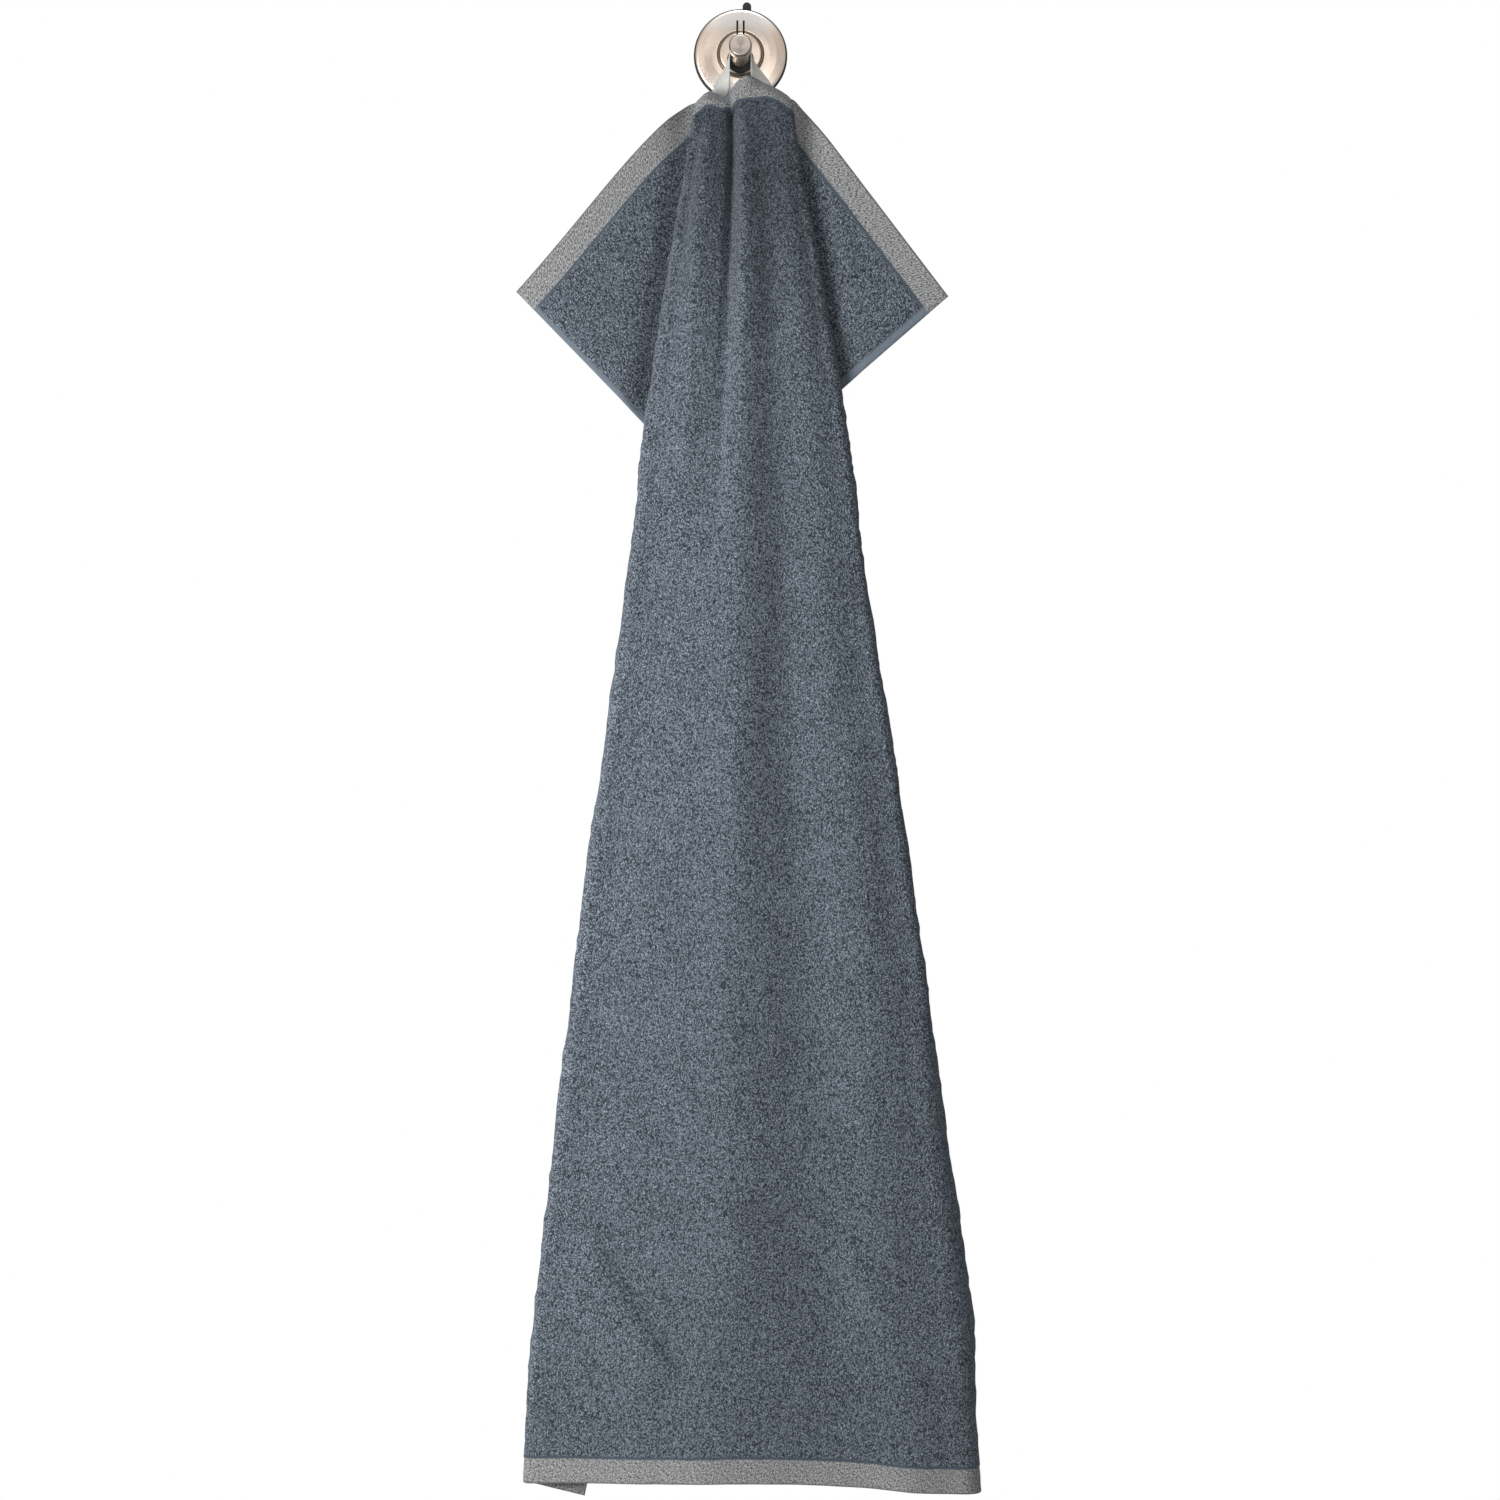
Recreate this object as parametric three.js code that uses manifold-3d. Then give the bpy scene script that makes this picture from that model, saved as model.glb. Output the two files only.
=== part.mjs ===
// Hand towel hung by its sewn-on tape loop from a round wall hook.
// Millimetres. +Z is up, +Y goes into the wall, and the towel's front faces -Y.
// The origin is the middle of the hook's flat back face, on the wall.
import * as THREE from "three";
import { mergeVertices } from "three/addons/utils/BufferGeometryUtils.js";
import Module from "manifold-3d";

// ------------------------------------------------------------ driving sizes
const TOWEL_WIDTH = 500; // along the top hem, laid flat
const TOWEL_LENGTH = 1000; // from the top hem to the foot hem, laid flat
const TERRY_THICK = 3.2; // ground weave and the loops on both faces
const BAND_THICK = 2.0; // flat woven border and side hems
const BAND_DEEP = 18; // border along each short end
const SIDE_HEM = 6; // turned hem along each long side

const PIECE_GAP = 0.35; // kept between neighbouring pieces

// Front panel, one row for each level down the cloth:
//   v             distance from the top hem along the cloth
//   left, right   outline of the panel (X of its outer faces)
//   leftY, rightY depth where each side starts to turn back
//   turnL, turnR  radius of the turn at the left and at the right side
//   innerL, innerR radius of the hidden turn behind, where the flap comes forth
const SECTIONS = [
  { v: 0, left: -32.5, right: 36, leftY: -30, rightY: -35, turnL: 2.4, turnR: 2.6, innerL: 2.4, innerR: 2.3 },
  { v: 18, left: -34, right: 37.6, leftY: -43, rightY: -48, turnL: 3, turnR: 2.7, innerL: 2.6, innerR: 2.3 },
  { v: 27, left: -35, right: 38.5, leftY: -42.5, rightY: -48.6, turnL: 3.2, turnR: 2.8, innerL: 2.6, innerR: 2.3 },
  { v: 45, left: -37.5, right: 41, leftY: -43.5, rightY: -50.5, turnL: 3.7, turnR: 3, innerL: 2.6, innerR: 2.3 },
  { v: 80, left: -43, right: 47, leftY: -45.5, rightY: -53, turnL: 5, turnR: 3.6, innerL: 2.6, innerR: 2.4 },
  { v: 110, left: -48.2, right: 52.8, leftY: -47, rightY: -54.5, turnL: 6, turnR: 4.2, innerL: 2.6, innerR: 2.4 },
  { v: 235, left: -67.2, right: 73.2, leftY: -50, rightY: -56.5, turnL: 8, turnR: 6, innerL: 2.6, innerR: 2.6 },
  { v: 375, left: -83.8, right: 93.2, leftY: -50.5, rightY: -57, turnL: 8, turnR: 7, innerL: 3, innerR: 3 },
  { v: 545, left: -106.6, right: 118.4, leftY: -50.5, rightY: -52.5, turnL: 7.8, turnR: 6.5, innerL: 4.4, innerR: 4.4 },
  { v: 640, left: -117.9, right: 132, leftY: -50.2, rightY: -51.5, turnL: 6.8, turnR: 6.8, innerL: 4.4, innerR: 4.4 },
  { v: 715, left: -126.4, right: 142.2, leftY: -50, rightY: -53.5, turnL: 5.8, turnR: 15.5, innerL: 4.4, innerR: 4.4 },
  { v: 885, left: -145.8, right: 164.6, leftY: -49.5, rightY: -51.8, turnL: 5.2, turnR: 17.5, innerL: 4.4, innerR: 4.4 },
  { v: 960, left: -152.8, right: 167.4, leftY: -49, rightY: -50, turnL: 5.2, turnR: 16, innerL: 4.4, innerR: 4.4 },
  { v: 1000, left: -154.6, right: 172, leftY: -49, rightY: -49.5, turnL: 5, turnR: 14, innerL: 4.4, innerR: 4.4 },
];

// Folds across the front panel, one row for each ridge or valley, left to right:
//   at     share of the panel's width
//   front  depth of the cloth there, both at the levels of FOLD_LEVELS
//          (the two sides take their depth from SECTIONS)
//   hemZ   height of the top hem there, footZ  height of the foot hem there
const FOLD_LEVELS = [0, 18, 27, 45, 110, 220, 375, 800, 1000];
const FOLDS = [
  { fold: "left side", at: [0, 0, 0, 0, 0, 0, 0, 0, 0], front: null, hemZ: -38.6, footZ: -1015.5 },
  { fold: "left ridge", at: [0.14, 0.14, 0.14, 0.14, 0.15, 0.18, 0.2, 0.2, 0.2], front: [-31, -43.8, -43.4, -49.5, -58.5, -60, -57.5, -55.8, -54], hemZ: -31.7, footZ: -1014.5 },
  { fold: "left pleat", at: [0.22, 0.28, 0.29, 0.3, 0.3, 0.29, 0.27, 0.26, 0.25], front: [-29, -42.6, -41.5, -47, -56, -59.3, -60.3, -58.2, -55.8], hemZ: -33.2, footZ: -1014.3 },
  { fold: "gather valley", at: [0.29, 0.37, 0.375, 0.38, 0.385, 0.37, 0.33, 0.32, 0.3], front: [-27, -38.6, -33, -37, -49.4, -57, -63, -60.5, -57.5], hemZ: -34.5, footZ: -1014 },
  { fold: "pleat edge", at: [0.46, 0.44, 0.455, 0.46, 0.457, 0.43, 0.4, 0.38, 0.36], front: [-36, -44, -43, -47.5, -58.5, -64, -66.3, -63.6, -60], hemZ: -24.4, footZ: -1013.7 },
  { fold: "middle ridge", at: [0.54, 0.51, 0.5, 0.5, 0.495, 0.48, 0.455, 0.44, 0.42], front: [-40.5, -45, -47, -53, -64, -67.3, -68, -65.5, -61.5], hemZ: -21.8, footZ: -1013.5 },
  { fold: "right valley", at: [0.75, 0.74, 0.74, 0.74, 0.72, 0.7, 0.68, 0.71, 0.77], front: [-34, -46.3, -47, -51, -56.5, -57, -55.5, -51.2, -50.5], hemZ: -26.8, footZ: -1018.6 },
  { fold: "right ridge", at: [0.9, 0.88, 0.88, 0.88, 0.87, 0.86, 0.85, 0.86, 0.885], front: [-34.5, -47.8, -49.2, -52, -58, -60, -60, -57.3, -54.6], hemZ: -31.8, footZ: -1021.6 },
  { fold: "right side", at: [1, 1, 1, 1, 1, 1, 1, 1, 1], front: null, hemZ: -36.3, footZ: -1023.5 },
];

// What lies beyond each side of the front panel, one row a side:
//   sign      -1 for the left, 1 for the right
//   cornerX, cornerZ  upper corner of the towel, at the tip of the flap
//   hemLean   angle of the flap's top hem from the vertical, degrees
//   sideDrop  angle of the flap's long side below the level, degrees
//   bow       how far the flap's top hem bows outward
//   sag       how far it sinks again where it nears the gather
//   pleat     cloth between the side's turn and the hidden turn, at the top hem
//   slant     angle of the hidden turn from the thread of the cloth, degrees
//   footDrop  slope of the turned-back foot hem, degrees below level
//   curl      how far the flap's corner comes forward
//   dip       how far the flap sinks towards the wall beside the panel
//   dipWide   width over which it does
const SIDES = [
  { side: "left", sign: -1, cornerX: -158.9, cornerZ: -174, hemLean: 42.4, sideDrop: 45.7, bow: 5, sag: 6.5, pleat: 14, slant: 31, footDrop: 14, curl: 4, dip: 11, dipWide: 22 },
  { side: "right", sign: 1, cornerX: 146.2, cornerZ: -179.8, hemLean: 37, sideDrop: 40.7, bow: 0.4, sag: 9, pleat: 15.3, slant: 36, footDrop: -6, curl: 12, dip: 2.2, dipWide: 5 },
];
const BOW_DEEP = 220; // the bow fades out this far below the hem
const SAG_RUN = 18; // length of hem over which it sinks
const CURL_RUN = 110; // how far beyond the panel the corner has come forward
const LEAN_DEEP = 27; // depth of the top that leans back to the tape
const LEAN_RUN = 25; // how far beyond the panel the flap's border is flat again
const SAG_DEEP = 120; // the sinking fades out this far below the hem
const LEFT_BACK_TOP = 213; // cloth beyond the left side at the top hem
const LEFT_BACK_FOOT = 47; // and at the foot hem

// Tape of the hanging loop
const TAPE_WIDE = 13.5;
const TAPE_THICK = 1;
const TAPE_TWIST = 82; // degrees that each leg turns between the peg and the hem
const TAPE_REST = 0.45; // gap between the tape and the neck
const TAPE_SEAT = 21.5; // where it lies on the peg, from the wall
const TAPE_ENDS = {
  left: { x: -15.2, y: -25.2, hemZ: -33, tuck: 8, tuckY: -5.5 },
  right: { x: 15, y: -31.4, hemZ: -26, tuck: 9, tuckY: -6.0 },
};

// Hook: radii, and distances from the wall
const PAD_RADIUS = 33.6;
const PAD_FRONT = 3;
const TAB = { x: 4.6, wide: 6.2, tip: 38.2, thick: 2.4 };
const ROSETTE_RADIUS = 32.4;
const ROSETTE_BACK = PAD_FRONT + PIECE_GAP;
const ROSETTE_PROFILE = [
  { r: 0, out: ROSETTE_BACK },
  { r: 31.6, out: ROSETTE_BACK },
  { r: ROSETTE_RADIUS, out: 4.3 },
  { r: 32.1, out: 5.3 },
  { r: 31.0, out: 5.9 },
  { r: 26.0, out: 7.0 },
  { r: 21.0, out: 7.8 },
  { r: 16.9, out: 8.1 },
  { r: 16.3, out: 7.2 },
  { r: 15.5, out: 7.2 },
  { r: 15.0, out: 9.6 },
  { r: 14.2, out: 10.3 },
  { r: 0, out: 10.6 },
];
const BOSS_FRONT = 10.6;
const SLOT = { apart: 4.6, wide: 1.4, from: 13.6, to: 24.2 };
const PEG_FOOT_Z = -5; // the peg's axis where it meets the boss
const PEG_RISE = 10; // degrees that it leans up
const GASKET_RADIUS = 9.6;
const GASKET_FRONT = 12.9;
const PEG_START = GASKET_FRONT + PIECE_GAP;
const NECK_RADIUS = 6.4;
const HEAD_RADIUS = 8.2;
const PEG_PROFILE = [
  { r: 0, along: -4 },
  { r: NECK_RADIUS, along: -4 },
  { r: NECK_RADIUS, along: 17.6 },
  { r: 7.0, along: 19.2 },
  { r: 7.9, along: 20.2 },
  { r: HEAD_RADIUS, along: 21.4 },
  { r: HEAD_RADIUS, along: 26.4 },
  { r: 7.9, along: 27.4 },
  { r: 7.2, along: 28.1 },
  { r: 0, along: 28.4 },
];

// ------------------------------------------------------------------ helpers
const radians = (degrees) => (degrees * Math.PI) / 180;
const lerp = (a, b, t) => a + (b - a) * t;
const clamp = (x, lo, hi) => Math.min(hi, Math.max(lo, x));
const smooth = (t) => {
  const c = clamp(t, 0, 1);
  return c * c * (3 - 2 * c);
};

// A smooth line through the given points that never overshoots between them.
function lineThrough(xs, ys) {
  const n = xs.length;
  const step = [];
  const grade = [];
  for (let i = 0; i < n - 1; i++) {
    step.push(xs[i + 1] - xs[i]);
    grade.push((ys[i + 1] - ys[i]) / step[i]);
  }
  const slope = new Array(n).fill(0);
  slope[0] = grade[0];
  slope[n - 1] = grade[n - 2];
  for (let i = 1; i < n - 1; i++) {
    if (grade[i - 1] * grade[i] > 0) {
      const a = 2 * step[i] + step[i - 1];
      const b = step[i] + 2 * step[i - 1];
      slope[i] = (a + b) / (a / grade[i - 1] + b / grade[i]);
    }
  }
  return (x, flatEnds = false) => {
    const c = clamp(x, xs[0], xs[n - 1]);
    let i = 0;
    while (i < n - 2 && c > xs[i + 1]) i++;
    const t = (c - xs[i]) / step[i];
    const s0 = flatEnds && i === 0 ? 0 : slope[i];
    const s1 = flatEnds && i === n - 2 ? 0 : slope[i + 1];
    const t2 = t * t;
    const t3 = t2 * t;
    return (
      (2 * t3 - 3 * t2 + 1) * ys[i] +
      (t3 - 2 * t2 + t) * step[i] * s0 +
      (3 * t2 - 2 * t3) * ys[i + 1] +
      (t3 - t2) * step[i] * s1
    );
  };
}

const sectionLine = {};
for (const column of Object.keys(SECTIONS[0])) {
  sectionLine[column] = lineThrough(SECTIONS.map((row) => row.v), SECTIONS.map((row) => row[column]));
}
const foldLine = FOLDS.map((row) => ({
  at: lineThrough(FOLD_LEVELS, row.at),
  front: row.front && lineThrough(FOLD_LEVELS, row.front),
}));

// ------------------------------------------------------- the towel's surface
// Section of the front panel at level v, from its left side to its right side:
// a quarter turn, the waves of the folds, and a quarter turn.
function frontSection(v) {
  const inset = TERRY_THICK / 2;
  const left = sectionLine.left(v) + inset;
  const right = sectionLine.right(v) - inset;
  const turnL = sectionLine.turnL(v);
  const turnR = sectionLine.turnR(v);
  const leftY = sectionLine.leftY(v);
  const rightY = sectionLine.rightY(v);
  const sideY = (f, k) => (f.front ? f.front(v) : k === 0 ? leftY : rightY);
  const depth = lineThrough(foldLine.map((f) => f.at(v)), foldLine.map(sideY));
  const turnShareL = turnL / (right - left);
  const turnShareR = turnR / (right - left);
  // angle runs from 0 at the side to 90 degrees on the front
  const quarterL = (angle) => ({ x: left + turnL * (1 - Math.cos(angle)), y: leftY + turnL * (1 - Math.sin(angle)) });
  const quarterR = (angle) => ({ x: right - turnR * (1 - Math.cos(angle)), y: rightY + turnR * (1 - Math.sin(angle)) });
  const wave = (t) => {
    const share = lerp(turnShareL, 1 - turnShareR, t);
    return { x: lerp(left, right, share), y: depth(t, true) };
  };
  return { left, right, turnL, turnR, leftY, rightY, quarterL, quarterR, wave };
}

const ARC_STEPS = 240;
// Points of the waved part at equal steps of cloth, and its whole cloth width.
function spreadAlong(wave, count) {
  const dense = [];
  const length = [0];
  for (let i = 0; i <= ARC_STEPS; i++) {
    dense.push(wave(i / ARC_STEPS));
    if (i > 0) length.push(length[i - 1] + Math.hypot(dense[i].x - dense[i - 1].x, dense[i].y - dense[i - 1].y));
  }
  const total = length[ARC_STEPS];
  const points = [];
  let i = 0;
  for (let k = 0; k <= count; k++) {
    const want = (total * k) / count;
    while (i < ARC_STEPS - 1 && length[i + 1] < want) i++;
    const t = (want - length[i]) / (length[i + 1] - length[i]);
    points.push({ x: lerp(dense[i].x, dense[i + 1].x, t), y: lerp(dense[i].y, dense[i + 1].y, t) });
  }
  return { points, total };
}

const QUARTER_L = 3;
const QUARTER_R = 4;
const WAVE_STEPS = 27;
const BACK_STEPS = 4;
const INNER_STEPS = 6;
const FLAP_STEPS = 4;
const ROWS = [
  0, 8, 16.5, 19.5, 29, 40, 54, 71, 91, 114, 140, 169, 200, 232, 264, 296, 328, 362, 402, 448, 498, 552, 610, 670, 730,
  790, 850, 905, 950, TOWEL_LENGTH - 19.5, TOWEL_LENGTH - 16.5, TOWEL_LENGTH - 8, TOWEL_LENGTH,
];

// The front panel's columns: x and y by row, and z from the length of the cloth.
function frontGrid(rows) {
  const grid = rows.map((v) => {
    const s = frontSection(v);
    const line = [];
    for (let k = 0; k < QUARTER_L; k++) line.push(s.quarterL((k / QUARTER_L) * (Math.PI / 2)));
    const spread = spreadAlong(s.wave, WAVE_STEPS);
    line.push(...spread.points);
    for (let k = QUARTER_R - 1; k >= 0; k--) line.push(s.quarterR((k / QUARTER_R) * (Math.PI / 2)));
    const cloth = spread.total + (Math.PI / 2) * (s.turnL + s.turnR);
    return { v, s, line, cloth };
  });
  const top = grid[0];
  const foot = grid[grid.length - 1];
  const hemZ = lineThrough(FOLDS.map((f) => f.at[0]), FOLDS.map((f) => f.hemZ));
  const footZ = lineThrough(FOLDS.map((f) => f.at[FOLD_LEVELS.length - 1]), FOLDS.map((f) => f.footZ));
  const share = (row, p) => (p.x - row.s.left) / (row.s.right - row.s.left);
  for (let c = 0; c < top.line.length; c++) {
    const z0 = hemZ(share(top, top.line[c]));
    const z1 = footZ(share(foot, foot.line[c]));
    const drop = [0];
    for (let r = 1; r < grid.length; r++) {
      const dv = grid[r].v - grid[r - 1].v;
      const dx = grid[r].line[c].x - grid[r - 1].line[c].x;
      const dy = grid[r].line[c].y - grid[r - 1].line[c].y;
      drop.push(drop[r - 1] + Math.sqrt(Math.max(0.25 * dv * dv, dv * dv - dx * dx - dy * dy)));
    }
    const whole = drop[grid.length - 1];
    grid.forEach((row, r) => (row.line[c].z = lerp(z0, z1, drop[r] / whole)));
  }
  return grid;
}

// One side beyond the front panel at level v. The cloth turns back at the
// panel's side, runs behind it, turns again at the hidden turn, and comes forth
// as the flap. Distances are measured along the cloth from the panel's side.
function sideRow(side, v, start, beyond, beyondTop, edge) {
  const letter = side.sign < 0 ? "L" : "R";
  const turn = sectionLine["turn" + letter](v);
  const inner = sectionLine["inner" + letter](v);
  const sideY = sectionLine[side.sign < 0 ? "leftY" : "rightY"](v) + turn;
  const lean = radians(side.hemLean);
  const fall = radians(side.sideDrop);
  const hemDir = { x: side.sign * Math.sin(lean), z: -Math.cos(lean) };
  const downDir = { x: -side.sign * Math.cos(fall), z: -Math.sin(fall) };
  const slope = Math.tan(radians(side.slant));
  const flapTop = beyondTop - side.pleat;
  // the flap lies flat: distance h from the towel's long side, v from its hem
  const flap = (h) => {
    const along = clamp(h / flapTop, 0, 1);
    const bow = side.bow * Math.sin(Math.PI * along ** 1.7) * (1 - smooth(v / BOW_DEEP));
    const sunk = smooth((h - flapTop + SAG_RUN) / SAG_RUN / 1.3);
    const sag = side.sag * 1.3 * sunk * (1 - smooth(v / SAG_DEEP));
    return {
      x: side.cornerX - h * hemDir.x + (v - bow) * downDir.x,
      z: side.cornerZ - h * hemDir.z + (v - bow) * downDir.z - sag,
    };
  };
  const flapWide = flapTop - v * slope; // below zero past the flap's end
  const flapEnd = flapTop / slope;
  const toInner = beyond - flapWide;
  const bend = flap(flapWide - (Math.PI / 2 - 1) * inner); // furthest reach of the hidden turn
  const run = { x: bend.x - start.x, z: bend.z - start.z };
  const reach = Math.hypot(run.x, run.z);
  const past = smooth((v - flapEnd) / (TOWEL_LENGTH - flapEnd));
  const drop = lerp(Math.atan2(-run.z, -side.sign * run.x), radians(side.footDrop), past);
  const dir = { x: -side.sign * Math.cos(drop), z: -Math.sin(drop) };
  const halfTurn = (Math.PI / 2) * turn;
  const halfInner = (Math.PI / 2) * inner;
  const ease = lerp((reach - turn - inner) / Math.max(1, toInner - halfTurn - halfInner), 1, past);
  const backY = sideY + turn;
  const at = (d) => {
    if (d <= halfTurn) {
      const a = d / turn;
      const e = turn * (1 - Math.cos(a));
      return { x: start.x + e * dir.x, y: sideY + turn * Math.sin(a), z: start.z + e * dir.z };
    }
    if (d <= toInner - halfInner) {
      const e = turn + ease * (d - halfTurn);
      return { x: start.x + e * dir.x, y: backY, z: start.z + e * dir.z };
    }
    const e0 = turn + ease * (toInner - halfInner - halfTurn);
    if (d <= toInner) {
      const a = (d - toInner + halfInner) / inner;
      const e = e0 + inner * Math.sin(a);
      return { x: start.x + e * dir.x, y: backY + inner * (1 - Math.cos(a)), z: start.z + e * dir.z };
    }
    if (d <= toInner + halfInner) {
      const a = (d - toInner) / inner;
      const e = inner * (1 - Math.cos(a));
      return { x: bend.x + e * hemDir.x, y: backY + inner * (1 + Math.sin(a)), z: bend.z + e * hemDir.z };
    }
    const p = flap(beyond - d);
    return { x: p.x, y: backY + 2 * inner, z: p.z };
  };
  const flapDepth = (k) =>
    sectionLine[side.sign < 0 ? "leftY" : "rightY"](k) + 2 * sectionLine["turn" + letter](k) + 2 * sectionLine["inner" + letter](k);
  // beside the panel the flap sinks towards the wall, and its corner comes forth
  const beside = (d) => {
    const p = at(d);
    const clear = side.sign * (p.x - edge(p.z));
    const sunk = smooth((d - toInner + halfInner) / (2 * halfInner)) * (1 - smooth(clear / side.dipWide));
    const curl = side.curl * smooth(clear / CURL_RUN);
    // the panel's top leans back to the tape, the flap's border stays flat
    const level = v < LEAN_DEEP ? (flapDepth(LEAN_DEEP) - flapDepth(v)) * smooth((clear - 2) / LEAN_RUN) : 0;
    return { ...p, y: p.y + side.dip * sunk * smooth((flapEnd - v) / 60) - curl + level };
  };
  return { at: beside, beyond, halfTurn, halfInner, toInner };
}

// Distances of one side's columns, from the panel's side out to the long side.
function sideColumns(row, quarterSteps) {
  const { beyond, halfTurn, halfInner } = row;
  const hemStart = beyond - SIDE_HEM;
  const innerAt = Math.min(row.toInner, hemStart - 4);
  const innerFrom = Math.max(halfTurn + 1, innerAt - halfInner);
  const innerTo = Math.min(innerAt + halfInner, hemStart - 1.5);
  const out = [];
  for (let k = 1; k <= quarterSteps; k++) out.push((halfTurn * k) / quarterSteps);
  for (let k = 1; k <= BACK_STEPS; k++) out.push(lerp(halfTurn, innerFrom, k / BACK_STEPS));
  for (let k = 1; k <= INNER_STEPS; k++) out.push(lerp(innerFrom, innerTo, k / INNER_STEPS));
  for (let k = 1; k <= FLAP_STEPS; k++) out.push(lerp(innerTo, hemStart, k / FLAP_STEPS));
  out.push(beyond);
  return out;
}

// The whole sheet as rows of points from one long side to the other.
function towelSheet() {
  const front = frontGrid(ROWS);
  const beyondL = (v) => lerp(LEFT_BACK_TOP, LEFT_BACK_FOOT, v / TOWEL_LENGTH);
  const beyondR = (row) => TOWEL_WIDTH - beyondL(row.v) - row.cloth;
  const beyondTop = { left: beyondL(0), right: beyondR(front[0]) };
  const last = front[0].line.length - 1;
  // X of the panel's side at a height
  const edgeOf = (column) => {
    const side = front.map((row) => row.line[column]);
    return (z) => {
      let i = 0;
      while (i < side.length - 2 && z < side[i + 1].z) i++;
      return lerp(side[i].x, side[i + 1].x, clamp((z - side[i].z) / (side[i + 1].z - side[i].z), 0, 1));
    };
  };
  const [leftEdge, rightEdge] = [edgeOf(0), edgeOf(last)];
  return front.map((row) => {
    const left = sideRow(SIDES[0], row.v, row.line[0], beyondL(row.v), beyondTop.left, leftEdge);
    const right = sideRow(SIDES[1], row.v, row.line[last], beyondR(row), beyondTop.right, rightEdge);
    const points = row.line.map((p) => ({ ...p, side: Infinity, v: row.v }));
    for (const d of sideColumns(left, QUARTER_L)) points.unshift({ ...left.at(d), side: left.beyond - d, v: row.v });
    for (const d of sideColumns(right, QUARTER_R)) points.push({ ...right.at(d), side: right.beyond - d, v: row.v });
    return points;
  });
}

// Thickness of the cloth: full in the terry, less in the borders and side hems.
function clothThick(p) {
  const band = Math.min(p.v, TOWEL_LENGTH - p.v);
  const inBand = smooth((band - BAND_DEEP + 1) / 2);
  const inHem = smooth((p.side - SIDE_HEM + 1) / 2);
  return lerp(BAND_THICK, TERRY_THICK, Math.min(inBand, inHem));
}

// A closed solid from a grid of points: both faces of the cloth and its rim.
function sheetSolid(grid, thickAt) {
  const rows = grid.length;
  const cols = grid[0].length;
  const point = (r, c) => {
    const p = grid[clamp(r, 0, rows - 1)][clamp(c, 0, cols - 1)];
    return new THREE.Vector3(p.x, p.y, p.z);
  };
  const positions = [];
  for (const face of [1, -1]) {
    for (let r = 0; r < rows; r++) {
      for (let c = 0; c < cols; c++) {
        const down = point(r + 1, c).sub(point(r - 1, c));
        const across = point(r, c + 1).sub(point(r, c - 1));
        const normal = down.cross(across).normalize();
        const p = point(r, c).addScaledVector(normal, (face * thickAt(grid[r][c])) / 2);
        positions.push(p.x, p.y, p.z);
      }
    }
  }
  const back = rows * cols;
  const id = (r, c) => r * cols + c;
  const index = [];
  const quad = (a, b, c, d) => index.push(a, b, c, a, c, d);
  for (let r = 0; r < rows - 1; r++) {
    for (let c = 0; c < cols - 1; c++) {
      const [a, b, d, e] = [id(r, c), id(r + 1, c), id(r + 1, c + 1), id(r, c + 1)];
      quad(a, b, d, e);
      quad(back + a, back + e, back + d, back + b);
    }
  }
  for (let c = 0; c < cols - 1; c++) {
    quad(id(0, c), id(0, c + 1), back + id(0, c + 1), back + id(0, c));
    quad(id(rows - 1, c + 1), id(rows - 1, c), back + id(rows - 1, c), back + id(rows - 1, c + 1));
  }
  for (let r = 0; r < rows - 1; r++) {
    quad(id(r + 1, 0), id(r, 0), back + id(r, 0), back + id(r + 1, 0));
    quad(id(r, cols - 1), id(r + 1, cols - 1), back + id(r + 1, cols - 1), back + id(r, cols - 1));
  }
  const geometry = new THREE.BufferGeometry();
  geometry.setAttribute("position", new THREE.Float32BufferAttribute(positions, 3));
  geometry.setIndex(index);
  geometry.computeVertexNormals();
  return geometry;
}

// ------------------------------------------------------------ the tape loop
const TAPE_LEG_STEPS = 12;
const TAPE_ARC_STEPS = 14;
const TAPE_TUCK_STEPS = 3;

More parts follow.
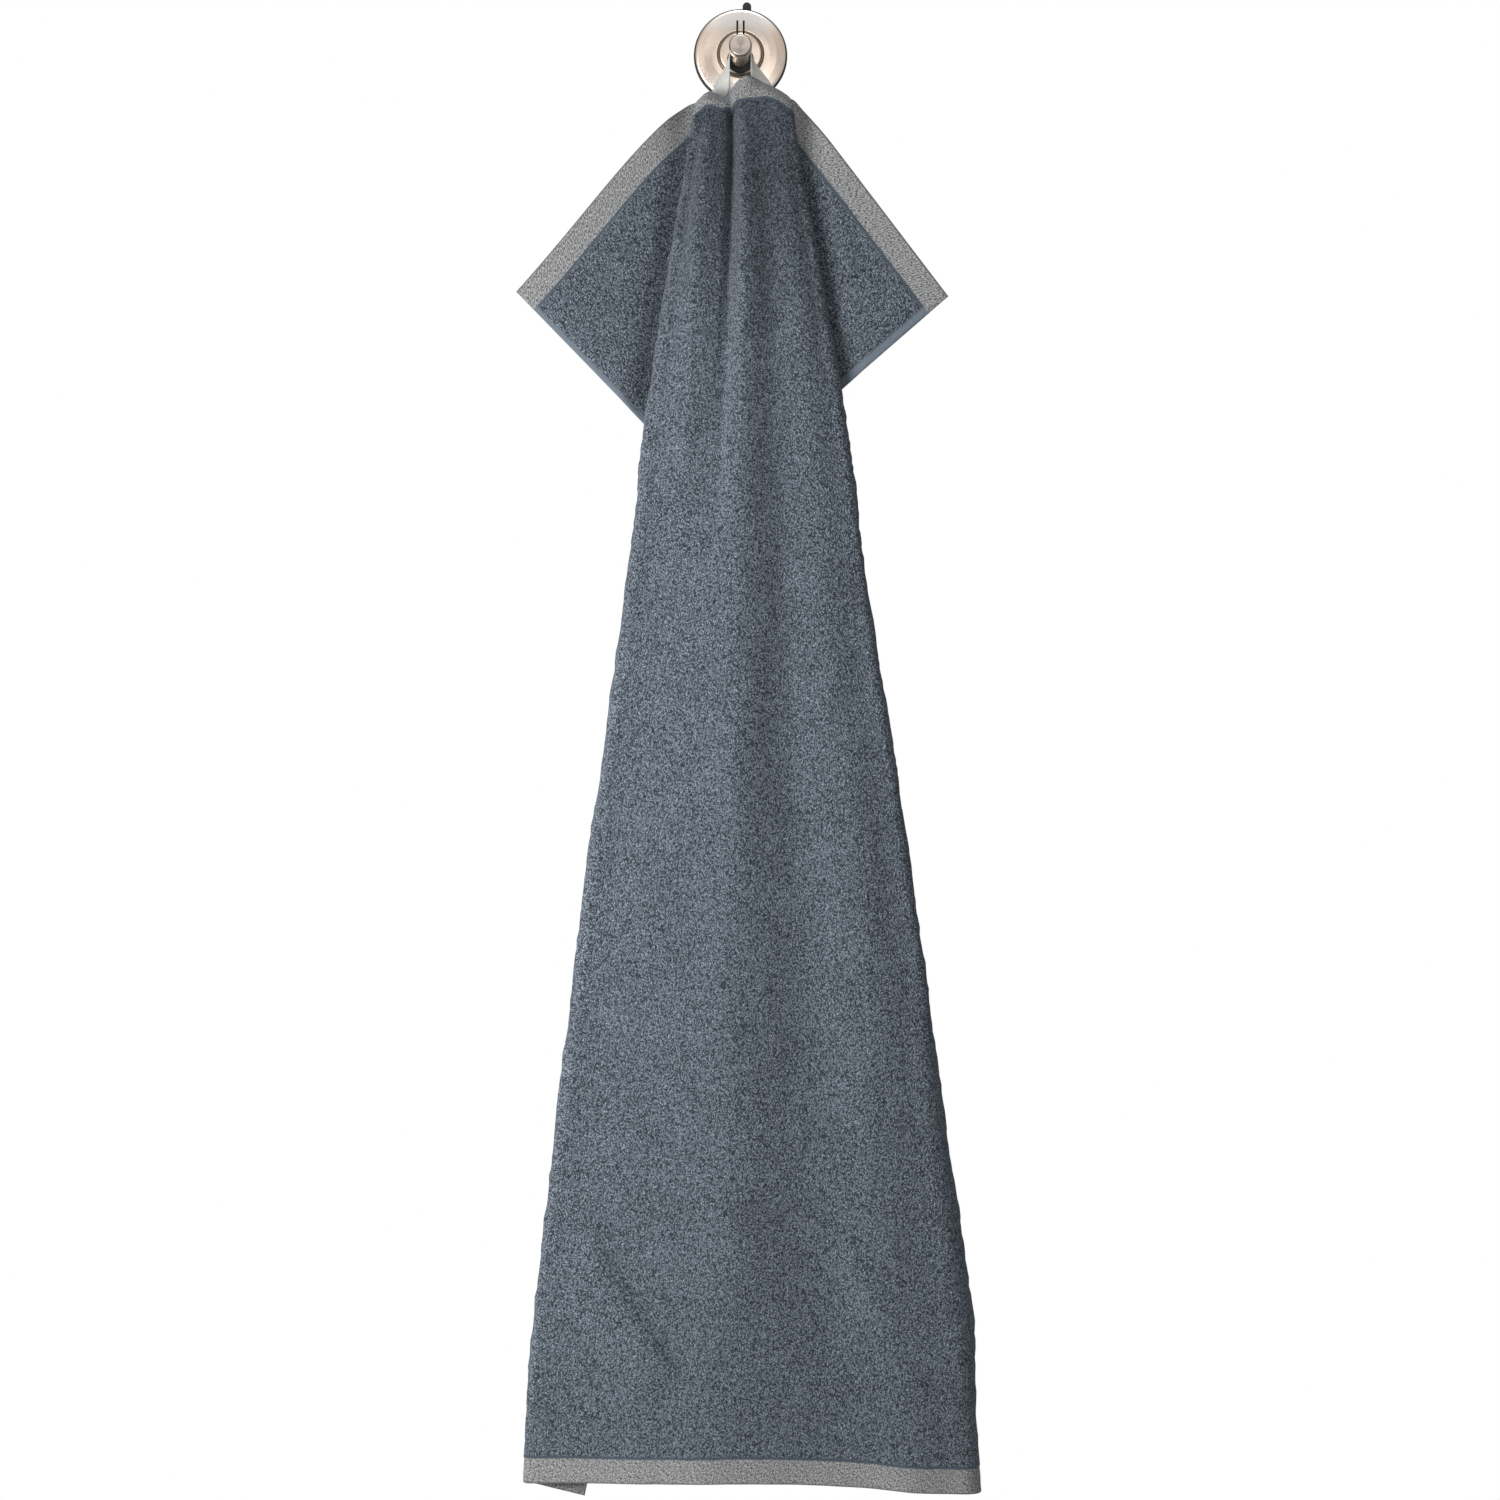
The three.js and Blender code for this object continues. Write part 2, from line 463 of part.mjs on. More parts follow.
// Middle line of the tape with the direction of its width, from the left end
// over the neck of the peg to the right end.
function tapeLine() {
  const rise = radians(PEG_RISE);
  const axisZ = PEG_FOOT_Z + (TAPE_SEAT - GASKET_FRONT) * Math.tan(rise);
  const seat = new THREE.Vector3(0, -TAPE_SEAT, axisZ);
  const wrap = NECK_RADIUS + TAPE_REST + TAPE_THICK / 2;
  const alongPeg = new THREE.Vector3(0, -Math.cos(rise), Math.sin(rise));
  const leg = (end, sign) => {
    const hem = new THREE.Vector3(end.x, end.y, end.hemZ);
    const away = Math.hypot(hem.x, hem.z - axisZ);
    const leave = Math.atan2(hem.z - axisZ, hem.x * sign) + Math.acos(wrap / away);
    const from = new THREE.Vector3(sign * wrap * Math.cos(leave), 0, wrap * Math.sin(leave)).add(seat);
    const line = [];
    for (let k = 0; k <= TAPE_LEG_STEPS; k++) {
      const t = k / TAPE_LEG_STEPS;
      const twist = radians(TAPE_TWIST) * t ** 1.4;
      const wide = alongPeg.clone().multiplyScalar(Math.cos(twist));
      wide.addScaledVector(new THREE.Vector3(-sign, 0, 0), Math.sin(twist));
      line.push({ p: from.clone().lerp(hem, t), wide });
    }
    for (let k = 1; k <= TAPE_TUCK_STEPS; k++) {
      const t = k / TAPE_TUCK_STEPS;
      const p = hem.clone().add(new THREE.Vector3(0, end.tuckY * t * t, -end.tuck * t));
      line.push({ p, wide: new THREE.Vector3(-sign, 0, 0) });
    }
    return { line, leave };
  };
  const left = leg(TAPE_ENDS.left, -1);
  const right = leg(TAPE_ENDS.right, 1);
  const over = [];
  const first = Math.PI - left.leave;
  for (let k = 1; k < TAPE_ARC_STEPS; k++) {
    const a = lerp(first, right.leave, k / TAPE_ARC_STEPS);
    over.push({ p: new THREE.Vector3(wrap * Math.cos(a), 0, wrap * Math.sin(a)).add(seat), wide: alongPeg });
  }
  return [...left.line.reverse(), ...over, ...right.line];
}

const TAPE_ACROSS = 4;
function tapeGrid() {
  const line = tapeLine();
  return line.map(({ p, wide }) => {
    const w = wide.clone().normalize();
    const row = [];
    for (let c = 0; c <= TAPE_ACROSS; c++) {
      const q = p.clone().addScaledVector(w, TAPE_WIDE * (c / TAPE_ACROSS - 0.5));
      row.push({ x: q.x, y: q.y, z: q.z });
    }
    return row;
  });
}

// ------------------------------------------------------------------ the hook
const wasm = await Module();
wasm.setup();

function toSolid(geometry) {
  const bare = geometry.clone();
  bare.deleteAttribute("normal");
  bare.deleteAttribute("uv");
  const merged = mergeVertices(bare, 1e-4);
  return new wasm.Manifold(
    new wasm.Mesh({
      numProp: 3,
      vertProperties: new Float32Array(merged.attributes.position.array),
      triVerts: new Uint32Array(merged.index.array),
    })
  );
}

function toGeometry(solid) {
  const mesh = solid.getMesh();
  const geometry = new THREE.BufferGeometry();
  geometry.setAttribute("position", new THREE.Float32BufferAttribute(mesh.vertProperties, 3));
  geometry.setIndex(Array.from(mesh.triVerts));
  geometry.computeVertexNormals();
  return geometry;
}

const ROUND_STEPS = 56;
// Turned shape about the wall's normal: `out` is the distance from the wall.
function turned(profile, key, steps = ROUND_STEPS) {
  const points = profile.map((p) => new THREE.Vector2(p.r, -p[key]));
  return new THREE.LatheGeometry(points.reverse(), steps);
}

function padGeometry() {
  const disc = turned(
    [
      { r: 0, out: 0 },
      { r: PAD_RADIUS, out: 0 },
      { r: PAD_RADIUS, out: 1.4 },
      { r: PAD_RADIUS - 1.1, out: PAD_FRONT },
      { r: 0, out: PAD_FRONT },
    ],
    "out"
  );
  const half = TAB.wide / 2;
  const outline = new THREE.Shape();
  outline.moveTo(-half, PAD_RADIUS - 6);
  outline.lineTo(half, PAD_RADIUS - 6);
  outline.lineTo(half, TAB.tip - half);
  outline.absarc(0, TAB.tip - half, half, 0, Math.PI, false);
  const tab = new THREE.ExtrudeGeometry(outline, { depth: TAB.thick, bevelEnabled: false, curveSegments: 8 });
  tab.rotateX(Math.PI / 2);
  tab.translate(TAB.x, -0.3, 0);
  return toGeometry(toSolid(disc).add(toSolid(tab)));
}

function rosetteGeometry() {
  let body = toSolid(turned(ROSETTE_PROFILE, "out"));
  for (const sign of [-1, 1]) {
    const cut = new THREE.BoxGeometry(SLOT.wide, 24, SLOT.to - SLOT.from);
    cut.translate((sign * SLOT.apart) / 2, -6, (SLOT.from + SLOT.to) / 2);
    body = body.subtract(toSolid(cut));
  }
  return toGeometry(body);
}

function pegGeometry() {
  const shaft = turned(PEG_PROFILE, "along", 40);
  shaft.rotateX(radians(-PEG_RISE));
  shaft.translate(0, -PEG_START, PEG_FOOT_Z);
  const wall = new THREE.BoxGeometry(60, 40, 60);
  wall.translate(0, 20 - PEG_START, PEG_FOOT_Z);
  return toGeometry(toSolid(shaft).subtract(toSolid(wall)));
}

function gasketGeometry() {
  const ring = turned(
    [
      { r: 0, out: BOSS_FRONT + PIECE_GAP },
      { r: GASKET_RADIUS - 0.4, out: BOSS_FRONT + PIECE_GAP },
      { r: GASKET_RADIUS, out: BOSS_FRONT + PIECE_GAP + 0.5 },
      { r: GASKET_RADIUS, out: GASKET_FRONT - 0.6 },
      { r: GASKET_RADIUS - 0.6, out: GASKET_FRONT },
      { r: 0, out: GASKET_FRONT },
    ],
    "out",
    40
  );
  ring.translate(0, 0, PEG_FOOT_Z);
  return ring;
}

// ----------------------------------------------------------------- the scene
const terry = new THREE.MeshStandardMaterial({ color: 0x56697f, roughness: 0.95, metalness: 0 });
const tape = new THREE.MeshStandardMaterial({ color: 0xd3d6cf, roughness: 0.6, metalness: 0 });
const nickel = new THREE.MeshStandardMaterial({ color: 0xcfc2b4, roughness: 0.3, metalness: 1 });
const nickelPeg = nickel.clone();
const rubber = new THREE.MeshStandardMaterial({ color: 0x141313, roughness: 0.55, metalness: 0 });
const rubberRing = rubber.clone();

const scene = new THREE.Group();
function place(name, geometry, material) {
  const mesh = new THREE.Mesh(geometry, material);
  mesh.name = name;
  scene.add(mesh);
}

place("suction_pad", padGeometry(), rubber);
place("rosette", rosetteGeometry(), nickel);
place("peg_gasket", gasketGeometry(), rubberRing);
place("peg", pegGeometry(), nickelPeg);
place("hanging_loop", sheetSolid(tapeGrid(), () => TAPE_THICK), tape);
place("towel", sheetSolid(towelSheet(), clothThick), terry);

export default scene;
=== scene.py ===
# Looks of the hand towel on a hook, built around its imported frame.
# Sizes are in millimetres up to the meshes, which are in metres in the frame's axes:
# +Z up, +Y into the wall, the towel's front faces -Y.
import math

import bpy
import numpy as np
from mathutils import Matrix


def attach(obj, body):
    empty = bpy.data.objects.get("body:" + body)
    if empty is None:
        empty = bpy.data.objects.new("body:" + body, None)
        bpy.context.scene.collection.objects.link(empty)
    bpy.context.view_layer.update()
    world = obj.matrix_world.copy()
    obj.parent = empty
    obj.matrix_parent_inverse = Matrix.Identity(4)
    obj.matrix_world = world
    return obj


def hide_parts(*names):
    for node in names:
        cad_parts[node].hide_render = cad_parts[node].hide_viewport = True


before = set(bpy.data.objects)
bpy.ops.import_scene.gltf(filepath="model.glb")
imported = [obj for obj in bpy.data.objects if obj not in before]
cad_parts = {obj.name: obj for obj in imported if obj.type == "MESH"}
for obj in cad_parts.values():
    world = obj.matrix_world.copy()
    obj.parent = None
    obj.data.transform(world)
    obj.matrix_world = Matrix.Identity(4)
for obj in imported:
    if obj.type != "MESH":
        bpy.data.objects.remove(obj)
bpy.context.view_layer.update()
MM = 0.001

# ------------------------------------------------------------------ cloth sizes
TOWEL_WIDTH = 500.0
TOWEL_LENGTH = 1000.0
TERRY_THICK = 3.2
BAND_THICK = 2.0
BAND_DEEP = 18.0
SIDE_HEM = 6.0

# Front panel, a row for each level v down the cloth: outline, depth of the sides,
# radius of the side turns, radius of the hidden turns behind.
SECTION_COLUMNS = ("v", "left", "right", "leftY", "rightY", "turnL", "turnR", "innerL", "innerR")
SECTIONS = [
    (0, -32.5, 36.0, -30.0, -35.0, 2.4, 2.6, 2.4, 2.3),
    (18, -34.0, 37.6, -43.0, -48.0, 3.0, 2.7, 2.6, 2.3),
    (27, -35.0, 38.5, -42.5, -48.6, 3.2, 2.8, 2.6, 2.3),
    (45, -37.5, 41.0, -43.5, -50.5, 3.7, 3.0, 2.6, 2.3),
    (80, -43.0, 47.0, -45.5, -53.0, 5.0, 3.6, 2.6, 2.4),
    (110, -48.2, 52.8, -47.0, -54.5, 6.0, 4.2, 2.6, 2.4),
    (235, -67.2, 73.2, -50.0, -56.5, 8.0, 6.0, 2.6, 2.6),
    (375, -83.8, 93.2, -50.5, -57.0, 8.0, 7.0, 3.0, 3.0),
    (545, -106.6, 118.4, -50.5, -52.5, 7.8, 6.5, 4.4, 4.4),
    (640, -117.9, 132.0, -50.2, -51.5, 6.8, 6.8, 4.4, 4.4),
    (715, -126.4, 142.2, -50.0, -53.5, 5.8, 15.5, 4.4, 4.4),
    (885, -145.8, 164.6, -49.5, -51.8, 5.2, 17.5, 4.4, 4.4),
    (960, -152.8, 167.4, -49.0, -50.0, 5.2, 16.0, 4.4, 4.4),
    (1000, -154.6, 172.0, -49.0, -49.5, 5.0, 14.0, 4.4, 4.4),
]
# Folds across the panel, left to right: share of the width and depth of the cloth
# at the fold levels, then the height of the top hem and the foot hem.
FOLD_LEVELS = (0, 18, 27, 45, 110, 220, 375, 800, 1000)
FOLDS = [
    dict(at=(0, 0, 0, 0, 0, 0, 0, 0, 0), front=None, hemZ=-38.6, footZ=-1015.5),
    dict(at=(0.14, 0.14, 0.14, 0.14, 0.15, 0.18, 0.2, 0.2, 0.2), front=(-31, -43.8, -43.4, -49.5, -58.5, -60, -57.5, -55.8, -54), hemZ=-31.7, footZ=-1014.5),
    dict(at=(0.22, 0.28, 0.29, 0.3, 0.3, 0.29, 0.27, 0.26, 0.25), front=(-29, -42.6, -41.5, -47, -56, -59.3, -60.3, -58.2, -55.8), hemZ=-33.2, footZ=-1014.3),
    dict(at=(0.29, 0.37, 0.375, 0.38, 0.385, 0.37, 0.33, 0.32, 0.3), front=(-27, -38.6, -33, -37, -49.4, -57, -63, -60.5, -57.5), hemZ=-34.5, footZ=-1014),
    dict(at=(0.46, 0.44, 0.455, 0.46, 0.457, 0.43, 0.4, 0.38, 0.36), front=(-36, -44, -43, -47.5, -58.5, -64, -66.3, -63.6, -60), hemZ=-24.4, footZ=-1013.7),
    dict(at=(0.54, 0.51, 0.5, 0.5, 0.495, 0.48, 0.455, 0.44, 0.42), front=(-40.5, -45, -47, -53, -64, -67.3, -68, -65.5, -61.5), hemZ=-21.8, footZ=-1013.5),
    dict(at=(0.75, 0.74, 0.74, 0.74, 0.72, 0.7, 0.68, 0.71, 0.77), front=(-34, -46.3, -47, -51, -56.5, -57, -55.5, -51.2, -50.5), hemZ=-26.8, footZ=-1018.6),
    dict(at=(0.9, 0.88, 0.88, 0.88, 0.87, 0.86, 0.85, 0.86, 0.885), front=(-34.5, -47.8, -49.2, -52, -58, -60, -60, -57.3, -54.6), hemZ=-31.8, footZ=-1021.6),
    dict(at=(1, 1, 1, 1, 1, 1, 1, 1, 1), front=None, hemZ=-36.3, footZ=-1023.5),
]
SIDES = [
    dict(sign=-1, cornerX=-158.9, cornerZ=-174.0, hemLean=42.4, sideDrop=45.7, bow=5.0, sag=6.5, pleat=14, slant=31.0, footDrop=14, curl=4, dip=11.0, dipWide=22.0, swell=0.0),
    dict(sign=1, cornerX=146.2, cornerZ=-179.8, hemLean=37.0, sideDrop=40.7, bow=0.4, sag=9.0, pleat=15.3, slant=36.0, footDrop=-6, curl=12, dip=2.2, dipWide=5.0, swell=5.0),
]
BOW_DEEP = 220.0
SAG_RUN = 18.0
CURL_RUN = 110.0
LEAN_DEEP = 27.0
LEAN_RUN = 25.0
SAG_DEEP = 120.0
LEFT_BACK_TOP = 213.0
LEFT_BACK_FOOT = 47.0

# Tape of the loop and what it hangs on
TAPE_WIDE = 13.5
TAPE_THICK = 1.0
TAPE_TWIST = 82.0
TAPE_REST = 0.45
TAPE_SEAT = 21.5
TAPE_ENDS = [
    dict(x=-15.2, y=-25.2, hemZ=-33.0, tuck=8.0, tuckY=-5.5),
    dict(x=15.0, y=-31.4, hemZ=-26.0, tuck=9.0, tuckY=-6.0),
]
PEG_FOOT_Z = -5.0
PEG_RISE = 10.0
GASKET_FRONT = 12.9
GASKET_RADIUS = 9.6
NECK_RADIUS = 6.4
PIECE_GAP = 0.35


# ---------------------------------------------------------------------- helpers
def smooth(t):
    c = np.clip(t, 0.0, 1.0)
    return c * c * (3.0 - 2.0 * c)


def lerp(a, b, t):
    return a + (b - a) * t


def line_through(xs, ys):
    """A smooth line through the points that never overshoots between them."""
    xs, ys = np.asarray(xs, float), np.asarray(ys, float)
    step = np.diff(xs)
    grade = np.diff(ys) / step
    slope = np.zeros(len(xs))
    slope[0], slope[-1] = grade[0], grade[-1]
    for i in range(1, len(xs) - 1):
        if grade[i - 1] * grade[i] > 0:
            a, b = 2 * step[i] + step[i - 1], step[i] + 2 * step[i - 1]
            slope[i] = (a + b) / (a / grade[i - 1] + b / grade[i])

    def at(x, flat_ends=False):
        c = np.clip(np.asarray(x, float), xs[0], xs[-1])
        i = np.clip(np.searchsorted(xs, c, side="left") - 1, 0, len(xs) - 2)
        t = (c - xs[i]) / step[i]
        s0, s1 = slope[i], slope[i + 1]
        if flat_ends:
            s0 = np.where(i == 0, 0.0, s0)
            s1 = np.where(i == len(xs) - 2, 0.0, s1)
        t2, t3 = t * t, t * t * t
        return (2 * t3 - 3 * t2 + 1) * ys[i] + (t3 - 2 * t2 + t) * step[i] * s0 + (3 * t2 - 2 * t3) * ys[i + 1] + (t3 - t2) * step[i] * s1

    return at


SECTION_LINE = {name: line_through([r[0] for r in SECTIONS], [r[k] for r in SECTIONS]) for k, name in enumerate(SECTION_COLUMNS) if k}
FOLD_AT = [line_through(FOLD_LEVELS, f["at"]) for f in FOLDS]
FOLD_FRONT = [line_through(FOLD_LEVELS, f["front"]) for f in FOLDS if f["front"]]


# -------------------------------------------------------- the towel's own surface
QUARTER_L, QUARTER_R = 6, 9
WAVE_STEPS = 92
BACK_STEPS, INNER_STEPS, FLAP_STEPS = 11, 10, 21
HEM_AT = (0.12, 0.5, 0.85, 1.0)  # columns over a side hem, as shares of its width
ARC_STEPS = 700


def spaced(start, stop, count):
    return list(np.linspace(start, stop, count, endpoint=False))


BAND_ROWS = [0.0, 0.35, 1.0, 2.2, 4.5, 7.5, 10.5, 13.5, 15.8, 17.0, 17.7, 18.3, 19.0, 20.2]
ROWS = BAND_ROWS + spaced(22.0, 130.0, 40) + spaced(130.0, 330.0, 56) + spaced(330.0, 980.0, 104) + [TOWEL_LENGTH - v for v in reversed(BAND_ROWS)]


def front_grid(rows):
    """x, y and z of the front panel, and for each column its share of cloth."""
    xs, ys, arcs = [], [], []
    for v in rows:
        s = {k: float(line(v)) for k, line in SECTION_LINE.items()}
        left, right = s["left"] + TERRY_THICK / 2, s["right"] - TERRY_THICK / 2
        depth = line_through([float(f(v)) for f in FOLD_AT], [s["leftY"]] + [float(f(v)) for f in FOLD_FRONT] + [s["rightY"]])
        aL = np.arange(QUARTER_L) / QUARTER_L * math.pi / 2
        aR = np.arange(QUARTER_R - 1, -1, -1) / QUARTER_R * math.pi / 2
        t = np.linspace(0, 1, ARC_STEPS + 1)
        share = lerp(s["turnL"] / (right - left), 1 - s["turnR"] / (right - left), t)
        wx = lerp(left, right, share)
        # the folds run into both side turns
        wy = depth((share - share[0]) / (share[-1] - share[0]), True)
        run = np.concatenate([[0], np.cumsum(np.hypot(np.diff(wx), np.diff(wy)))])
        want = np.linspace(0, run[-1], WAVE_STEPS + 1)
        xs.append(np.concatenate([left + s["turnL"] * (1 - np.cos(aL)), np.interp(want, run, wx), right - s["turnR"] * (1 - np.cos(aR))]))
        ys.append(np.concatenate([s["leftY"] + s["turnL"] * (1 - np.sin(aL)), np.interp(want, run, wy), s["rightY"] + s["turnR"] * (1 - np.sin(aR))]))
        arcs.append(np.concatenate([s["turnL"] * aL, s["turnL"] * math.pi / 2 + want, s["turnL"] * math.pi / 2 + run[-1] + s["turnR"] * (math.pi / 2 - aR)]))
    x, y, arc = np.array(xs), np.array(ys), np.array(arcs)
    rows = np.asarray(rows)
    hem = line_through([f["at"][0] for f in FOLDS], [f["hemZ"] for f in FOLDS])
    foot = line_through([f["at"][-1] for f in FOLDS], [f["footZ"] for f in FOLDS])
    share0 = (x[0] - x[0, 0]) / (x[0, -1] - x[0, 0])
    share1 = (x[-1] - x[-1, 0]) / (x[-1, -1] - x[-1, 0])
    dv = np.diff(rows)[:, None]
    fall = np.sqrt(np.maximum(0.25 * dv * dv, dv * dv - np.diff(x, axis=0) ** 2 - np.diff(y, axis=0) ** 2))
    drop = np.vstack([np.zeros(x.shape[1]), np.cumsum(fall, axis=0)])
    z = lerp(hem(share0)[None, :], foot(share1)[None, :], drop / drop[-1])
    return x, y, z, arc


def side_row(side, v, start, beyond, beyond_top, quarter_steps, edge):
    """Points beyond one side of the panel at level v: the turn, the hidden layer
    behind, the hidden turn, and the flap. Returns points and distances."""
    letter = "L" if side["sign"] < 0 else "R"
    turn = float(SECTION_LINE["turn" + letter](v))
    inner = float(SECTION_LINE["inner" + letter](v))
    side_y = float(SECTION_LINE["leftY" if side["sign"] < 0 else "rightY"](v)) + turn
    lean, fall = math.radians(side["hemLean"]), math.radians(side["sideDrop"])
    hem_dir = (side["sign"] * math.sin(lean), -math.cos(lean))
    down_dir = (-side["sign"] * math.cos(fall), -math.sin(fall))
    slope = math.tan(math.radians(side["slant"]))
    flap_top = beyond_top - side["pleat"]

    def flap(h):
        along = np.clip(h / flap_top, 0, 1)
        bow = side["bow"] * np.sin(math.pi * along**1.7) * (1 - smooth(v / BOW_DEEP))
        sunk = smooth((h - flap_top + SAG_RUN) / SAG_RUN / 1.3)
        sag = side["sag"] * 1.3 * sunk * (1 - smooth(v / SAG_DEEP))
        return (
            side["cornerX"] - h * hem_dir[0] + (v - bow) * down_dir[0],
            side["cornerZ"] - h * hem_dir[1] + (v - bow) * down_dir[1] - sag,
        )

    flap_wide = flap_top - v * slope
    flap_end = flap_top / slope
    to_inner = beyond - flap_wide
    bend = flap(flap_wide - (math.pi / 2 - 1) * inner)
    run = (bend[0] - start[0], bend[1] - start[2])
    reach = math.hypot(*run)
    past = float(smooth((v - flap_end) / (TOWEL_LENGTH - flap_end)))
    drop = lerp(math.atan2(-run[1], -side["sign"] * run[0]), math.radians(side["footDrop"]), past)
    d_x, d_z = -side["sign"] * math.cos(drop), -math.sin(drop)
    half_turn, half_inner = math.pi / 2 * turn, math.pi / 2 * inner
    ease = lerp((reach - turn - inner) / max(1.0, to_inner - half_turn - half_inner), 1.0, past)
    back_y = side_y + turn

    hem_start = beyond - SIDE_HEM
    inner_at = min(to_inner, hem_start - 4)
    inner_from = max(half_turn + 1, inner_at - half_inner)
    inner_to = min(inner_at + half_inner, hem_start - 1.5)
    # the flap's columns crowd where it comes out beside the panel
    trial = np.linspace(inner_to, hem_start, 80)
    trial_x, trial_z = flap(beyond - trial)
    out = np.interp(0.0, side["sign"] * (trial_x - np.interp(-trial_z, -edge[:, 2], edge[:, 0])), trial)
    crowd = np.concatenate([[0], np.cumsum(np.diff(trial) * (1 + 5 * np.exp(-(((trial[1:] + trial[:-1]) / 2 - out - 8) / 16) ** 2)))])
    d = np.concatenate([
        half_turn * np.arange(1, quarter_steps + 1) / quarter_steps,
        lerp(half_turn, inner_from, np.arange(1, BACK_STEPS + 1) / BACK_STEPS),
        lerp(inner_from, inner_to, np.arange(1, INNER_STEPS + 1) / INNER_STEPS),
        np.interp(np.arange(1, FLAP_STEPS + 1) / FLAP_STEPS * crowd[-1], crowd, trial),
        hem_start + SIDE_HEM * np.array(HEM_AT),
    ])
    a1 = d / turn
    e1 = turn * (1 - np.cos(a1))
    e2 = turn + ease * (d - half_turn)
    e0 = turn + ease * (to_inner - half_inner - half_turn)
    a3 = (d - to_inner + half_inner) / inner
    e3 = e0 + inner * np.sin(a3)
    a4 = (d - to_inner) / inner
    e4 = inner * (1 - np.cos(a4))
    p5x, p5z = flap(beyond - d)
    cases = [d <= half_turn, d <= to_inner - half_inner, d <= to_inner, d <= to_inner + half_inner]
    x = np.select(cases, [start[0] + e1 * d_x, start[0] + e2 * d_x, start[0] + e3 * d_x, bend[0] + e4 * hem_dir[0]], p5x)
    z = np.select(cases, [start[2] + e1 * d_z, start[2] + e2 * d_z, start[2] + e3 * d_z, bend[1] + e4 * hem_dir[1]], p5z)
    y = np.select(
        cases,
        [side_y + turn * np.sin(a1), np.full(len(d), back_y), back_y + inner * (1 - np.cos(a3)), back_y + inner * (1 + np.sin(a4))],
        back_y + 2 * inner,
    )
    # beside the panel the flap sinks towards the wall or swells forward, and
    # its corner comes forth
    clear = side["sign"] * (x - np.interp(-z, -edge[:, 2], edge[:, 0]))
    sunk = smooth((d - to_inner + half_inner) / (2 * half_inner)) * (1 - smooth(clear / side["dipWide"]))
    swell = smooth((clear - 1) / 22)
    y = y + (side["dip"] * sunk - side["swell"] * swell) * smooth((flap_end - v) / 60)
    y = y - side["curl"] * smooth(clear / CURL_RUN)
    # the panel's top leans back to the tape, the flap's border stays flat
    if v < LEAN_DEEP:
        deep_y = "leftY" if side["sign"] < 0 else "rightY"
        level = [float(SECTION_LINE[deep_y](k) + 2 * SECTION_LINE["turn" + letter](k) + 2 * SECTION_LINE["inner" + letter](k)) for k in (LEAN_DEEP, v)]
        y = y + (level[0] - level[1]) * smooth((clear - 2) / LEAN_RUN)
    return np.stack([x, y, z], 1), d


def towel_grid():
    """The middle of the cloth as a grid of points, with its own flat u and v."""
    x, y, z, arc = front_grid(ROWS)
    beyond_left = [lerp(LEFT_BACK_TOP, LEFT_BACK_FOOT, v / TOWEL_LENGTH) for v in ROWS]
    beyond_right = [TOWEL_WIDTH - b - a for b, a in zip(beyond_left, arc[:, -1])]
    points, flat = [], []
    for r, v in enumerate(ROWS):
        front = np.stack([x[r], y[r], z[r]], 1)
        left, dl = side_row(SIDES[0], v, front[0], beyond_left[r], beyond_left[0], QUARTER_L, np.stack([x[:, 0], y[:, 0], z[:, 0]], 1))
        right, dr = side_row(SIDES[1], v, front[-1], beyond_right[r], beyond_right[0], QUARTER_R, np.stack([x[:, -1], y[:, -1], z[:, -1]], 1))
        points.append(np.vstack([left[::-1], front, right]))
        flat.append(np.concatenate([(beyond_left[r] - dl)[::-1], beyond_left[r] + arc[r], TOWEL_WIDTH - (beyond_right[r] - dr)]))
    p = np.array(points)
    u = np.array(flat)
    v = np.repeat(np.asarray(ROWS)[:, None], u.shape[1], 1)
    return p, u, v


def normals_of(p):
    down = np.empty_like(p)
    down[1:-1] = p[2:] - p[:-2]
    down[0], down[-1] = p[1] - p[0], p[-1] - p[-2]
    across = np.empty_like(p)
    across[:, 1:-1] = p[:, 2:] - p[:, :-2]
    across[:, 0], across[:, -1] = p[:, 1] - p[:, 0], p[:, -1] - p[:, -2]
    n = np.cross(down, across)
    return n / np.maximum(np.linalg.norm(n, axis=2, keepdims=True), 1e-9)


def waves(u, v, table):
    """Slow unevenness: a sum of slanted ripples, a row of the table for each."""
    total = np.zeros_like(u)
    for high, long, angle, start in table:
        a = math.radians(angle)
        total += high * np.sin(2 * math.pi * (u * math.cos(a) + v * math.sin(a)) / long + start)
    return total


def cloth_thick(u, v):
    band = np.minimum(v, TOWEL_LENGTH - v)
    hem = np.minimum(u, TOWEL_WIDTH - u)
    in_band = smooth((band - BAND_DEEP + 0.7) / 1.2)
    in_hem = smooth((hem - SIDE_HEM + 0.7) / 1.4)
    thick = lerp(BAND_THICK, TERRY_THICK, np.minimum(in_band, in_hem))
    edge = np.minimum(band, hem)  # both kinds of hem end in a rounded fold
    return thick * np.sqrt(np.clip(1 - (1 - np.clip(edge / 1.0, 0, 1)) ** 2, 0.08, 1))


